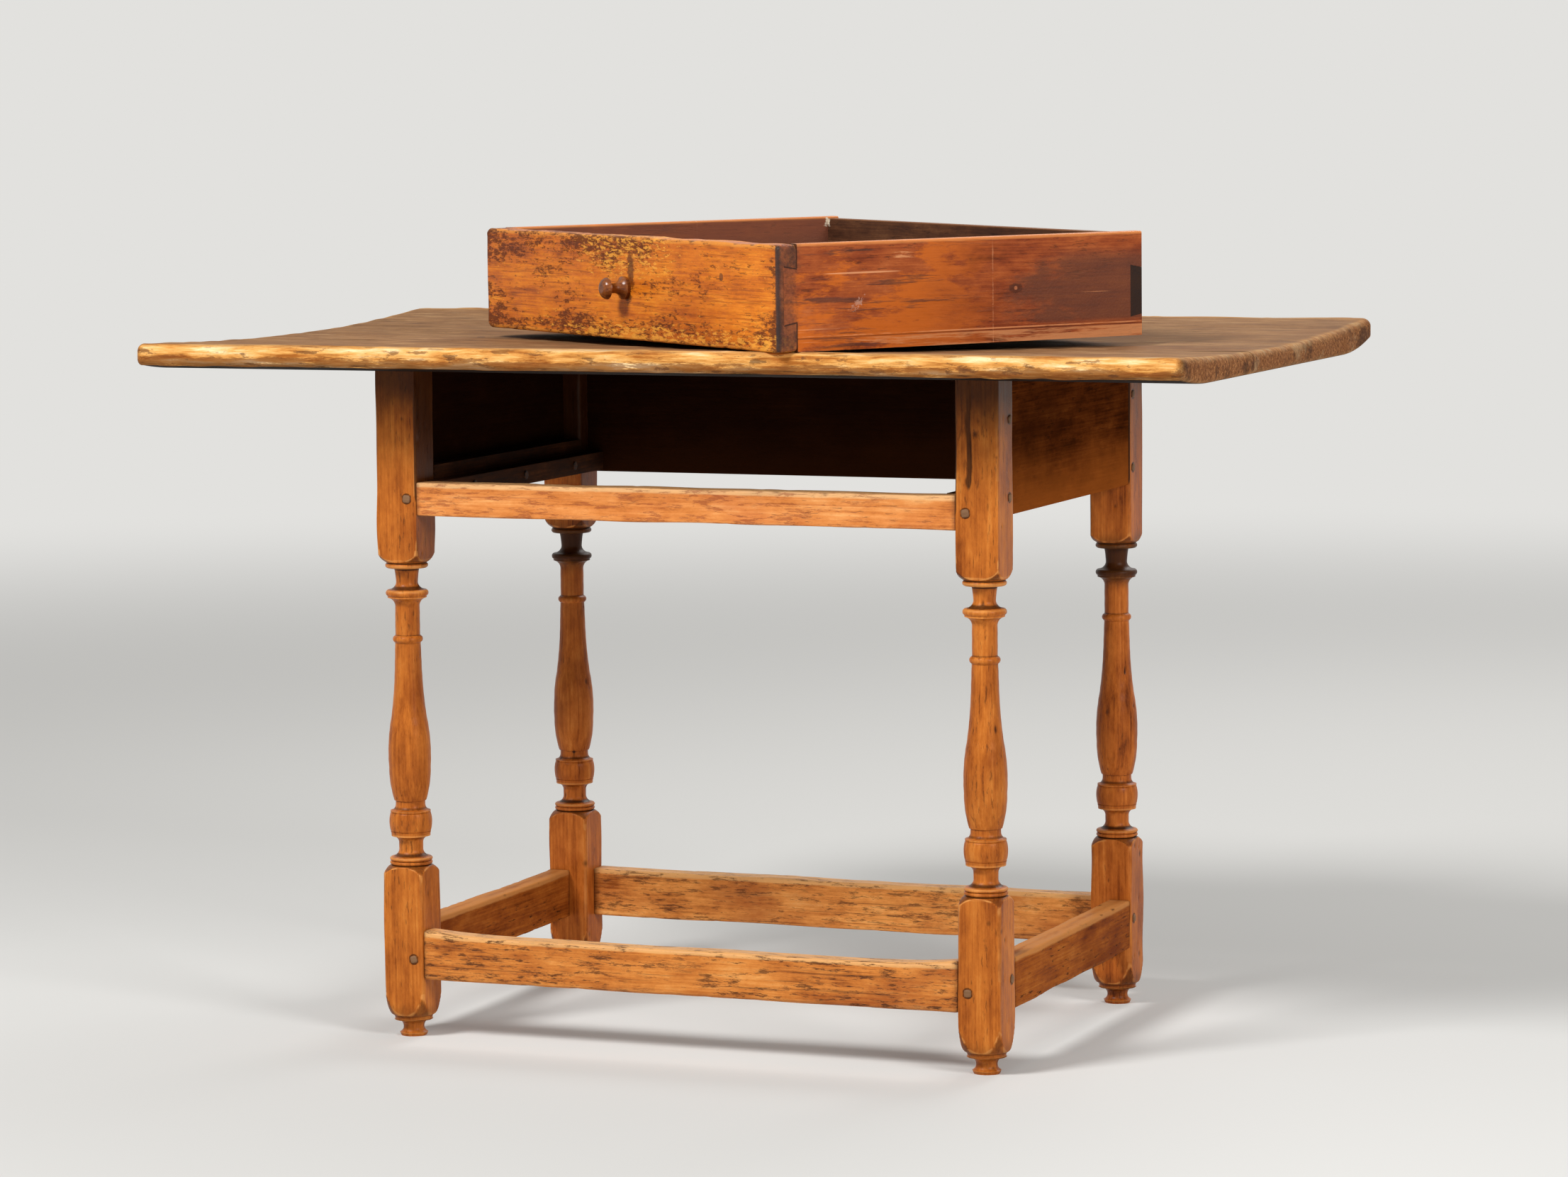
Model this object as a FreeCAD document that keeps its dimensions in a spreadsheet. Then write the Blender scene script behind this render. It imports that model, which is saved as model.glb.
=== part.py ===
import FreeCAD, Part
import math
import os
import Sketcher

# A tavern table: four turned legs, pegged aprons and box stretcher, a cupped two-board top,
# and a dovetailed drawer that stands on the top, turned away from the opening it slides in.
# +X runs to the right along the front, -Y is the front, +Z is up, and the floor is at z = 0.

# Driving sizes in millimetres, and the turn of the drawer in degrees
SIZES = {
    # legs: distance between their centres, square stock, height to the underside of the top
    "leg_spacing_x": 595.4,
    "leg_spacing_y": 391.6,
    "leg_square": 42.4,
    "leg_edge_ease": 2.5,
    "turning_skim": 0.4,
    "belly_skim": 0.9,
    "frame_height": 653.0,
    # turned foot, from the floor upwards
    "foot_radius": 12.5,
    "pad_radius": 13.8,
    "pad_height": 3.0,
    "foot_cove_radius": 10.2,
    "foot_cove_height": 7.0,
    "foot_flare_height": 6.0,
    "foot_ring_height": 4.5,
    # lower square block, which takes the stretchers, and its turned shoulders
    "lower_block_height": 148.5,
    "foot_shoulder": 14.5,
    "block_shoulder": 16.0,
    "shoulder_radius": 19.0,
    # turned shaft, from the lower block upwards
    "bead_height": 3.75,
    "low_cove_height": 8.5,
    "low_neck_height": 5.0,
    "low_neck_radius": 11.7,
    "low_flare_height": 7.0,
    "ball_fillet_height": 2.5,
    "ball_height": 26.5,
    "ball_top_radius": 16.5,
    "ball_neck_height": 9.5,
    "ball_neck_radius": 14.5,
    "vase_base_height": 28.5,
    "vase_shoulder_height": 51.0,
    "vase_shoulder_radius": 17.0,
    "vase_taper_height": 43.0,
    "vase_taper_radius": 13.3,
    "vase_stem_height": 28.5,
    "vase_stem_radius": 12.4,
    "collar_height": 7.0,
    "collar_radius": 14.6,
    "neck_height": 27.5,
    "neck_radius": 12.0,
    "cavetto_height": 9.5,
    "fillet_height": 1.5,
    "ring_height": 6.0,
    "cove_height": 21.5,
    "cove_radius": 12.0,
    "cove_lip_radius": 16.5,
    "cap_ring_height": 5.0,
    # aprons, drawer rail and stretchers
    "apron_height": 129.0,
    "apron_thickness": 22.0,
    "apron_inset": 1.5,
    "rail_rise": 20.4,
    "rail_height": 32.5,
    "rail_thickness": 24.0,
    "rail_inset": 1.0,
    "stretcher_rise": 58.5,
    "stretcher_height": 49.3,
    "stretcher_thickness": 23.0,
    "stretcher_inset": 0.5,
    "stretcher_wear": 4.0,
    "stretcher_wear_round": 6.0,
    "edge_ease": 1.5,
    # mortise and tenon joints and their pegs
    "tenon_thickness": 8.0,
    "tenon_shoulder": 4.0,
    "apron_haunch": 14.0,
    "joint_gap": 0.15,
    "peg_radius": 4.0,
    "peg_gap": 0.1,
    "peg_setback": 10.0,
    "peg_proud": 1.0,
    "peg_stagger": 5.0,
    "apron_peg_rise": 17.0,
    "apron_peg_drop": 39.0,
    # top
    "top_length": 1056.0,
    "top_depth": 631.0,
    "top_thickness": 20.0,
    "cup_front": 8.0,
    "cup_back": 12.5,
    "seam_offset": 94.0,
    "seat_margin": 5.0,
    "corner_left_front": 12.0,
    "corner_left_back": 20.0,
    "corner_right_front": 8.5,
    "corner_right_back": 9.5,
    "rim_upper_round": 8.0,
    "rim_lower_round": 6.0,
    "pin_depth": 30.0,
    "pin_front": 135.0,
    "pin_back": 120.0,
    "pin_spread": 150.0,
    # drawer runners, guides and their nails
    "runner_height": 18.4,
    "runner_ledge": 17.0,
    "guide_height": 13.6,
    "runner_gap": 0.2,
    "nail_radius": 1.6,
    "nail_gap": 0.1,
    "nail_head_radius": 4.2,
    "nail_head_height": 1.6,
    "runner_nail_pitch": 120.0,
    # drawer: clearances to its bay, boards, dovetails
    "drawer_side_gap": 1.0,
    "drawer_depth_gap": 1.5,
    "drawer_height_gap": 9.6,
    "front_thickness": 22.0,
    "front_round": 2.5,
    "front_corner_left": 8.0,
    "front_corner_right": 3.5,
    "side_thickness": 13.0,
    "side_round": 2.0,
    "back_thickness": 13.0,
    "back_drop": 2.0,
    "front_lap": 8.0,
    "tail_rise": 27.0,
    "tail_drop": 23.0,
    "pin_rise": 18.0,
    "pin_drop": 32.0,
    "dovetail_flare": 2.5,
    "bottom_rise": 6.0,
    "bottom_thickness": 8.0,
    "groove_depth": 6.0,
    "bottom_nail_bite": 15.0,
    "bottom_nail_pitch": 140.0,
    # knob
    "knob_shank_radius": 4.5,
    "knob_shank_end": 2.0,
    "knob_flange_radius": 11.0,
    "knob_flange_height": 3.0,
    "knob_neck_radius": 5.0,
    "knob_neck_height": 12.5,
    "knob_head_radius": 10.5,
    "knob_head_rise": 4.5,
    "knob_head_height": 10.5,
    "knob_crown_radius": 2.5,
    # where the drawer stands on the top
    "drawer_turn_angle": 36.4,
    "drawer_mid_x": 44.8,
    "drawer_stand_gap": 0.3,
}

# Shares that place the middle of a quarter round or quarter hollow between its two ends
QUARTER_NEAR = 1 - math.cos(math.radians(45))
QUARTER_FAR = math.sin(math.radians(45))
# Shares that place the middle of a block's shoulder, a little outside a straight slope
SHOULDER_OUT = 0.66
SHOULDER_ALONG = 0.44
# Share of the vase's taper that is left at its middle, a little less than a straight taper
TAPER_HOLLOW = 0.35
# The lathe's outlines reach this many half sides out, past the corners of the square stock
LATHE_REACH = 1.5
# Two places closer than this are the same place, and a cut takes away more than this volume
SAME_PLACE = 0.01
LEAST_CUT = 0.1

doc = FreeCAD.newDocument("tavern_table")
sheet = doc.addObject("Spreadsheet::Sheet", "sizes")
for row, (alias, number) in enumerate(SIZES.items(), start=1):
    sheet.set(f"A{row}", alias)
    sheet.set(f"B{row}", str(number))
    sheet.setAlias(f"B{row}", alias)
doc.recompute()


class Length:
    """A length that carries its value and the sheet expression that gives it."""

    def __init__(self, value, text):
        self.value = float(value)
        self.text = text

    def __add__(self, other):
        other = length(other)
        return Length(self.value + other.value, f"({self.text} + {other.text})")

    def __sub__(self, other):
        other = length(other)
        return Length(self.value - other.value, f"({self.text} - {other.text})")

    def __mul__(self, other):
        other = length(other)
        return Length(self.value * other.value, f"({self.text} * {other.text})")

    def __truediv__(self, other):
        other = length(other)
        return Length(self.value / other.value, f"({self.text} / {other.text})")

    def __neg__(self):
        return Length(-self.value, f"(0 - {self.text})")


def length(item):
    """A Length from a sheet alias, a plain number or another Length."""
    if isinstance(item, Length):
        return item
    if isinstance(item, str):
        return Length(sheet.get(item), f"sizes.{item}")
    return Length(item, repr(float(item)))


def sine(angle):
    """The sine of an angle, whose value is in degrees."""
    return Length(math.sin(math.radians(angle.value)), f"sin({angle.text})")


def cosine(angle):
    """The cosine of an angle, whose value is in degrees."""
    return Length(math.cos(math.radians(angle.value)), f"cos({angle.text})")


ZERO = length(0)


# Sketches and features


def new_body(name):
    body = doc.addObject("PartDesign::Body", name)
    body.Label = name
    return body


def add_sketch(body, plane, name, offset=ZERO):
    """A sketch on one of the body's own origin planes, moved along that plane's normal."""
    sketch = body.newObject("Sketcher::SketchObject", f"{body.Name}_{name}")
    support = next(item for item in body.Origin.OriginFeatures if item.Role == plane)
    sketch.AttachmentSupport = [(support, "")]
    sketch.MapMode = "FlatFace"
    sketch.setExpression("AttachmentOffset.Base.z", offset.text)
    return sketch


def hold_point(sketch, element, end, across, up):
    """Holds one point of a sketch element at its place; a zero puts it on that axis."""
    for kind, axis, place in (("DistanceX", -2, across), ("DistanceY", -1, up)):
        if place is ZERO:
            sketch.addConstraint(Sketcher.Constraint("PointOnObject", element, end, axis))
        else:
            constraint = Sketcher.Constraint(kind, -1, 1, element, end, place.value)
            index = sketch.addConstraint(constraint)
            sketch.setExpression(f"Constraints[{index}]", place.text)


def vector(point):
    return FreeCAD.Vector(point[0].value, point[1].value, 0)


def outline(sketch, points):
    """Draws a closed outline through (across, up) corners. A ("via", across, up) entry
    after a corner makes the next run an arc through that point."""
    runs = []
    for point in points:
        if point[0] == "via":
            runs[-1][1] = point[1:]
        else:
            runs.append([point, None])
    drawn = []
    for (corner, via), (following, _) in zip(runs, runs[1:] + runs[:1]):
        start = vector(corner)
        if via is None:
            run = Part.LineSegment(start, vector(following))
        else:
            run = Part.Arc(start, vector(via), vector(following))
        element = sketch.addGeometry(run, False)
        forward = sketch.getPoint(element, 1).distanceToPoint(start) < SAME_PLACE
        first, last = (1, 2) if forward else (2, 1)
        hold_point(sketch, element, first, *corner)
        if via is not None:
            marker = sketch.addGeometry(Part.Point(vector(via)), True)
            hold_point(sketch, marker, 1, *via)
            sketch.addConstraint(Sketcher.Constraint("PointOnObject", marker, 1, element))
        drawn.append((element, first, last))
    for (element, _, last), (after, first, _) in zip(drawn, drawn[1:] + drawn[:1]):
        sketch.addConstraint(Sketcher.Constraint("Coincident", element, last, after, first))


def rectangle(sketch, left, right, low, high):
    outline(sketch, [(left, low), (right, low), (right, high), (left, high)])


def circle(sketch, across, up, radius):
    centre = vector((across, up))
    element = sketch.addGeometry(Part.Circle(centre, FreeCAD.Vector(0, 0, 1), radius.value), False)
    hold_point(sketch, element, 3, across, up)
    index = sketch.addConstraint(Sketcher.Constraint("Radius", element, radius.value))
    sketch.setExpression(f"Constraints[{index}]", radius.text)


def pad(body, sketch, reach, side="Symmetric", backwards=False):
    feature = body.newObject("PartDesign::Pad", f"{sketch.Name}_pad")
    feature.Profile = sketch
    feature.SideType = side
    feature.Reversed = backwards
    feature.setExpression("Length", reach.text)
    return feature


def pocket(body, sketch, side="Symmetric", backwards=False, reach=None):
    """Cuts a sketch through the body, or only as far as reach. One sided, it cuts against
    the sketch plane's normal unless it is turned backwards."""
    feature = body.newObject("PartDesign::Pocket", f"{sketch.Name}_pocket")
    feature.Profile = sketch
    feature.SideType = side
    feature.Reversed = backwards
    if reach is None:
        feature.Type = "ThroughAll"
    else:
        feature.setExpression("Length", reach.text)
    return feature


def fillet(body, wanted, radius, name):
    """Rounds the edges of the body's latest feature that wanted picks."""
    doc.recompute()
    base = body.Tip
    edges = [f"Edge{number}" for number, edge in enumerate(base.Shape.Edges, start=1) if wanted(edge)]
    feature = body.newObject("PartDesign::Fillet", f"{body.Name}_{name}")
    feature.Base = (base, edges)
    feature.setExpression("Radius", radius.text)
    return feature


def middle(edge):
    return edge.valueAt((edge.FirstParameter + edge.LastParameter) / 2)


def runs_along(edge, axis, at_least):
    """True for an edge that reaches at least that far along X, Y or Z."""
    return getattr(edge.BoundBox, f"{axis}Length") > at_least


# Places shared by the pieces

half_leg = length("leg_square") / 2
leg_x = length("leg_spacing_x") / 2
leg_y = length("leg_spacing_y") / 2
frame_top = length("frame_height")
apron_bottom = frame_top - "apron_height"
rail_top = apron_bottom + "rail_rise"
bay_height = frame_top - rail_top
joint_gap = length("joint_gap")
tenon_length = half_leg - joint_gap
peg_hole_radius = length("peg_radius") + "peg_gap"
shoulder_x = leg_x - half_leg
shoulder_y = leg_y - half_leg
apron_middle = length("apron_inset") + length("apron_thickness") / 2
half_top = length("top_depth") / 2
stretcher_middle_z = length("stretcher_rise") + length("stretcher_height") / 2

# Each joined member: what it is called, how far its middle lies inside the legs' outer face,
# its foot and height, and the heights of its pegs on members along X and along Y
MEMBERS = {
    "stretcher": {
        "middle": length("stretcher_inset") + length("stretcher_thickness") / 2,
        "thickness": length("stretcher_thickness"),
        "low": length("stretcher_rise"),
        "height": length("stretcher_height"),
        "haunch": length("tenon_shoulder"),
        "pegs_x": [stretcher_middle_z - "peg_stagger"],
        "pegs_y": [stretcher_middle_z + "peg_stagger"],
    },
    "rail": {
        "middle": length("rail_inset") + length("rail_thickness") / 2,
        "thickness": length("rail_thickness"),
        "low": rail_top - "rail_height",
        "height": length("rail_height"),
        "haunch": length("tenon_shoulder"),
        "pegs_x": [rail_top - length("rail_height") / 2],
    },
    "apron": {
        "middle": apron_middle,
        "thickness": length("apron_thickness"),
        "low": apron_bottom,
        "height": length("apron_height"),
        "haunch": length("apron_haunch"),
        "pegs_x": [apron_bottom + "apron_peg_rise", frame_top - "apron_peg_drop"],
        "pegs_y": [apron_bottom + "apron_peg_rise", frame_top - "apron_peg_drop"],
    },
}


# Legs: square stock, turned foot and shaft, mortises and peg holes


def quarter(small, big, hollow):
    """The corner and middle point of a quarter curve between a small and a big radius, each
    an (radius, height) pair. A hollow one is upright at the small end, a round one at the big."""
    upright, level = (small, big) if hollow else (big, small)
    radius = upright[0] + (level[0] - upright[0]) * QUARTER_NEAR
    height = upright[1] + (level[1] - upright[1]) * QUARTER_FAR
    return ("via", radius, height)


def sloped(small, big):
    """The middle point of the slope that the skew chisel cuts between a ring and a square block."""
    radius = small[0] + (big[0] - small[0]) * SHOULDER_OUT
    height = small[1] + (big[1] - small[1]) * SHOULDER_ALONG
    return ("via", radius, height)


def foot_outline(outside):
    """What the lathe takes off below the lower block."""
    pad_z = length("pad_height")
    cove_z = pad_z + "foot_cove_height"
    flare_z = cove_z + "foot_flare_height"
    ring_z = flare_z + "foot_ring_height"
    block_z = ring_z + "foot_shoulder"
    pad_edge = (length("pad_radius"), pad_z)
    cove = (length("foot_cove_radius"), cove_z)
    ring_foot = (length("shoulder_radius"), flare_z)
    ring_head = (length("shoulder_radius"), ring_z)
    block = (outside, block_z)
    points = [
        (length("foot_radius"), ZERO),
        pad_edge,
        quarter(cove, pad_edge, True),
        cove,
        quarter(cove, ring_foot, True),
        ring_foot,
        ring_head,
        quarter(ring_head, block, False),
        block,
        (outside, ZERO),
    ]
    return points, ring_z


def bead(radius_root, radius_crown, low, height):
    """A half-round ring: its lower corner and the crown that the arc passes through."""
    return [(radius_root, low), ("via", radius_crown, low + height / 2)]


def shaft_outline(outside, block_foot):
    """What the lathe takes off between the two square blocks."""
    root = length("shoulder_radius")
    crown = half_leg - "turning_skim"
    beads_z = block_foot + "lower_block_height"
    block = (outside, beads_z - "block_shoulder")
    block_head = (root, beads_z)
    second_z = beads_z + "bead_height"
    cove_z = second_z + "bead_height"
    cove_top = (root, cove_z)
    neck_z = cove_z + "low_cove_height"
    low_neck = (length("low_neck_radius"), neck_z)
    flare_z = neck_z + "low_neck_height"
    low_flare = (length("low_neck_radius"), flare_z)
    fillet_z = flare_z + "low_flare_height"
    ball_z = fillet_z + "ball_fillet_height"
    ball_head_z = ball_z + "ball_height"
    vase_z = ball_head_z + "ball_neck_height"
    vase_foot = (length("ball_neck_radius"), vase_z)
    belly = (half_leg - "belly_skim", vase_z + "vase_base_height")
    shoulder = (length("vase_shoulder_radius"), belly[1] + "vase_shoulder_height")
    taper = (length("vase_taper_radius"), shoulder[1] + "vase_taper_height")
    taper_middle = (shoulder[1] + taper[1]) / 2
    taper_hollow = taper[0] + (shoulder[0] - taper[0]) * TAPER_HOLLOW
    collar_z = taper[1] + "vase_stem_height"
    stem = length("vase_stem_radius")
    neck_foot_z = collar_z + "collar_height"
    neck = (length("neck_radius"), neck_foot_z + "neck_height")
    cavetto = (root, neck[1] + "cavetto_height")
    ring_z = cavetto[1] + "fillet_height"
    ring_head_z = ring_z + "ring_height"
    lip = length("cove_lip_radius")
    cove_middle_z = ring_head_z + length("cove_height") / 2
    cap_z = ring_head_z + "cove_height"
    cap_head = (root, cap_z + "cap_ring_height")
    upper_block = (outside, cap_head[1] + "block_shoulder")
    return [
        block,
        sloped(block_head, block),
        *bead(root, crown, beads_z, length("bead_height")),
        *bead(root, crown, second_z, length("bead_height")),
        cove_top,
        quarter(low_neck, cove_top, True),
        low_neck,
        low_flare,
        quarter(low_flare, (root, fillet_z), True),
        (root, fillet_z),
        *bead(root, crown, ball_z, length("ball_height")),
        (length("ball_top_radius"), ball_head_z),
        (length("ball_neck_radius"), ball_head_z),
        vase_foot,
        quarter(vase_foot, belly, False),
        belly,
        quarter(shoulder, belly, False),
        shoulder,
        ("via", taper_hollow, taper_middle),
        taper,
        *bead(stem, length("collar_radius"), collar_z, length("collar_height")),
        (neck[0], neck_foot_z),
        neck,
        quarter(neck, cavetto, True),
        cavetto,
        *bead(root, crown, ring_z, length("ring_height")),
        (root, ring_head_z),
        (lip, ring_head_z),
        ("via", length("cove_radius"), cove_middle_z),
        (lip, cap_z),
        *bead(root, crown, cap_z, length("cap_ring_height")),
        cap_head,
        sloped(cap_head, upper_block),
        upper_block,
    ]


def mortises(sketch, kinds, side):
    """One mortise for each joined member, on the outer half of the leg."""
    for kind in kinds:
        member = MEMBERS[kind]
        centre = (half_leg - member["middle"]) * side
        half = length("tenon_thickness") / 2 + joint_gap
        low = member["low"] + "tenon_shoulder" - joint_gap
        high = member["low"] + member["height"] - member["haunch"] + joint_gap
        rectangle(sketch, centre - half, centre + half, low, high)


def make_leg(name, side_x, side_y):
    """side_x and side_y point from the middle of the table to this leg."""
    body = new_body(name)
    body.setExpression("Placement.Base.x", (leg_x * side_x).text)
    body.setExpression("Placement.Base.y", (leg_y * side_y).text)

    stock = add_sketch(body, "XY_Plane", "stock")
    rectangle(stock, -half_leg, half_leg, -half_leg, half_leg)
    pad(body, stock, frame_top, "One side")
    fillet(body, lambda edge: runs_along(edge, "Z", half_leg.value * 2), length("leg_edge_ease"), "eased")

    turning = add_sketch(body, "XZ_Plane", "turning")
    outside = half_leg * LATHE_REACH
    foot, block_foot = foot_outline(outside)
    outline(turning, foot)
    outline(turning, shaft_outline(outside, block_foot))
    groove = body.newObject("PartDesign::Groove", f"{name}_turned")
    groove.Profile = turning
    groove.ReferenceAxis = (turning, ["V_Axis"])
    groove.Angle = 360

    kinds_x = ["stretcher", "rail" if side_y < 0 else "apron"]
    kinds_y = ["stretcher", "apron"]
    mortise_x = add_sketch(body, "YZ_Plane", "mortises_x")
    mortises(mortise_x, kinds_x, side_y)
    pocket(body, mortise_x, "One side", side_x < 0)
    mortise_y = add_sketch(body, "XZ_Plane", "mortises_y")
    mortises(mortise_y, kinds_y, side_x)
    pocket(body, mortise_y, "One side", side_y > 0)

    inner = half_leg - "peg_setback"
    holes_x = add_sketch(body, "XZ_Plane", "peg_holes_x")
    for kind in kinds_x:
        for z in MEMBERS[kind]["pegs_x"]:
            circle(holes_x, inner * -side_x, z, peg_hole_radius)
    pocket(body, holes_x, "One side", side_y < 0)
    holes_y = add_sketch(body, "YZ_Plane", "peg_holes_y")
    for kind in kinds_y:
        for z in MEMBERS[kind]["pegs_y"]:
            circle(holes_y, inner * -side_y, z, peg_hole_radius)
    pocket(body, holes_y, "One side", side_x > 0)
    return body


# Aprons, drawer rail and stretchers: a board with a tenon at each end, bored for its pegs


def make_member(name, kind, axis, side, wear=None):
    """A member along X or Y; side is its side of the table, -1 for front or left."""
    member = MEMBERS[kind]
    body = new_body(name)
    along_x = axis == "X"
    plane = "XZ_Plane" if along_x else "YZ_Plane"
    half_length = shoulder_x if along_x else shoulder_y
    leg_place = leg_y if along_x else leg_x
    across = (leg_place + half_leg - member["middle"]) * side
    body.setExpression(f"Placement.Base.{'y' if along_x else 'x'}", across.text)

    low = member["low"]
    high = low + member["height"]
    board = add_sketch(body, plane, "board")
    if wear is None:
        rectangle(board, -half_length, half_length, low, high)
    else:
        corners = [(-half_length, low), (half_length, low), (half_length, high)]
        outline(board, [*corners, ("via", ZERO, high - wear), (-half_length, high)])
    pad(body, board, member["thickness"])

    reach = half_length.value
    middle_z = (low + member["height"] / 2).value
    worn_side = "y" if along_x else "x"

    def is_worn(edge):
        outer = getattr(middle(edge), worn_side) * side > 0
        return wear is not None and outer and middle(edge).z > middle_z

    def is_eased(edge):
        covered = kind == "apron" and middle(edge).z > middle_z
        return runs_along(edge, axis, reach) and not covered and not is_worn(edge)

    fillet(body, is_eased, length("edge_ease"), "eased")
    if wear is not None:
        worn_round = length("stretcher_wear_round")
        fillet(body, lambda edge: runs_along(edge, axis, reach) and is_worn(edge), worn_round, "worn")

    tenon = add_sketch(body, plane, "tenon")
    tip = half_length + tenon_length
    rectangle(tenon, -tip, tip, low + "tenon_shoulder", high - member["haunch"])
    pad(body, tenon, length("tenon_thickness"))

    holes = add_sketch(body, plane, "peg_holes")
    for z in member[f"pegs_{axis.lower()}"]:
        for end in (-1, 1):
            circle(holes, (half_length + "peg_setback") * end, z, peg_hole_radius)
    pocket(body, holes)
    return body


# Round fasteners: one solid for each, gathered in a group


def make_group(name, solids):
    group = doc.addObject("Part::Compound", name)
    group.Label = name
    group.Links = solids
    return group


def rod(name, radius, reach, place, direction):
    """A round rod that starts at place and runs along a unit direction."""
    solid = doc.addObject("Part::Cylinder", name)
    solid.setExpression("Radius", radius.text)
    solid.setExpression("Height", reach.text)
    solid.Placement.Rotation = FreeCAD.Rotation(FreeCAD.Vector(0, 0, 1), FreeCAD.Vector(*direction))
    for letter, value in zip("xyz", place):
        solid.setExpression(f"Placement.Base.{letter}", value.text)
    return solid


def nail(name, reach, place, direction):
    """A hand-made nail: a round shank, and a flat head that stands behind its starting place."""
    shank = rod(f"{name}_shank", length("nail_radius"), reach, place, direction)
    behind = [value - length("nail_head_height") * part for value, part in zip(place, direction)]
    head = rod(f"{name}_head", length("nail_head_radius"), length("nail_head_height"), behind, direction)
    whole = doc.addObject("Part::Fuse", name)
    whole.Base = head
    whole.Tool = shank
    return whole


def joint_pegs(kind, axis, sides):
    """The pegs of the members of one kind along X or Y, driven in from the outside."""
    solids = []
    reach = half_leg + "peg_proud" - "peg_gap"
    inner_x = shoulder_x + "peg_setback"
    inner_y = shoulder_y + "peg_setback"
    for side in sides:
        for end in (-1, 1):
            for z in MEMBERS[kind][f"pegs_{axis.lower()}"]:
                if axis == "X":
                    place = (inner_x * end, (leg_y + half_leg + "peg_proud") * side, z)
                    inwards = (0, -side, 0)
                else:
                    place = ((leg_x + half_leg + "peg_proud") * side, inner_y * end, z)
                    inwards = (-side, 0, 0)
                solids.append(rod(f"{kind}_peg", length("peg_radius"), reach, place, inwards))
    return solids


# Top: two boards, edge to edge, cupped upwards at front and back


def surface_rise(y):
    """How much the cup lifts the top at a distance y from the middle of its depth."""
    share = y / half_top
    cup = length("cup_front" if y.value < 0 else "cup_back")
    return cup * share * share


apron_line_x = leg_x + half_leg - apron_middle
apron_line_y = leg_y + half_leg - apron_middle
PIN_PLACES = {
    "front": [(apron_line_x * side, -length("pin_front")) for side in (-1, 1)],
    "rear_sides": [
        (apron_line_x * side, y) for side in (-1, 1) for y in (ZERO, length("pin_back"))
    ],
    "rear_back": [(length("pin_spread") * side, apron_line_y) for side in (-1, 1)],
}


def make_top_board(name, side, corner_sizes, pins):
    """side is -1 for the front board and 1 for the rear board."""
    body = new_body(name)
    body.setExpression("Placement.Base.z", frame_top.text)
    seam = -length("seam_offset")
    rim = half_top * side
    cup = length("cup_front" if side < 0 else "cup_back")
    seat = (leg_y + half_leg + "seat_margin") * side
    thickness = length("top_thickness")
    turn_up = (seat + rim) / 2
    halfway = (rim + seam) / 2
    section = add_sketch(body, "YZ_Plane", "section")
    outline(section, [
        (seam, ZERO),
        (seat, ZERO),
        ("via", turn_up, cup / 4),
        (rim, cup),
        (rim, thickness + cup),
        ("via", halfway, thickness + surface_rise(halfway)),
        (seam, thickness + surface_rise(seam)),
    ])
    pad(body, section, length("top_length"))

    end_x = sheet.get("top_length") / 2
    for end, alias in zip((-1, 1), corner_sizes):
        def is_corner(edge, end=end):
            at_end = abs(middle(edge).x - end * end_x) < SAME_PLACE
            return at_end and abs(middle(edge).y - rim.value) < SAME_PLACE and runs_along(edge, "Z", 1)
        fillet(body, is_corner, length(alias), alias)

    reach = max(sheet.get(alias) for alias in corner_sizes)
    quarter_thickness = thickness.value / 4

    def on_rim(edge):
        point = middle(edge)
        near_end = abs(point.x) > end_x - reach
        near_rim = point.y * side > half_top.value - reach
        return (near_end or near_rim) and abs(point.y - seam.value) > SAME_PLACE

    def height_in_board(edge):
        lift = cup.value * (middle(edge).y / half_top.value) ** 2
        return middle(edge).z - lift - thickness.value / 2

    fillet(body, lambda edge: on_rim(edge) and height_in_board(edge) > quarter_thickness,
           length("rim_upper_round"), "upper_round")
    fillet(body, lambda edge: on_rim(edge) and height_in_board(edge) < -quarter_thickness,
           length("rim_lower_round"), "lower_round")

    holes = add_sketch(body, "XY_Plane", "pin_holes")
    for x, y in pins:
        circle(holes, x, y, peg_hole_radius)
    pocket(body, holes, "One side", True)
    return body


def bore_for_pins(body, along_x, pins):
    """Blind holes in an apron's top edge, under the pins of the top."""
    holes = add_sketch(body, "XY_Plane", "pin_holes", frame_top - "pin_depth" - "peg_gap")
    for x, y in pins:
        circle(holes, *((x, ZERO) if along_x else (ZERO, y)), peg_hole_radius)
    pocket(body, holes, "One side", True)


# Drawer runners and guides, inside the side aprons

apron_inside = leg_x + half_leg - "apron_inset" - "apron_thickness"
runner_inside = shoulder_x - "runner_ledge"
runner_low = rail_top - "runner_height"
runner_front = -(leg_y + half_leg - "rail_inset" - "rail_thickness")
runner_back = leg_y + half_leg - "apron_inset" - "apron_thickness"
runner_nail_z = runner_low + length("runner_height") / 2
nail_hole_radius = length("nail_radius") + "nail_gap"
RUNNER_NAILS = [length("runner_nail_pitch") * step for step in (-1, 1)] + [ZERO]


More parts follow.
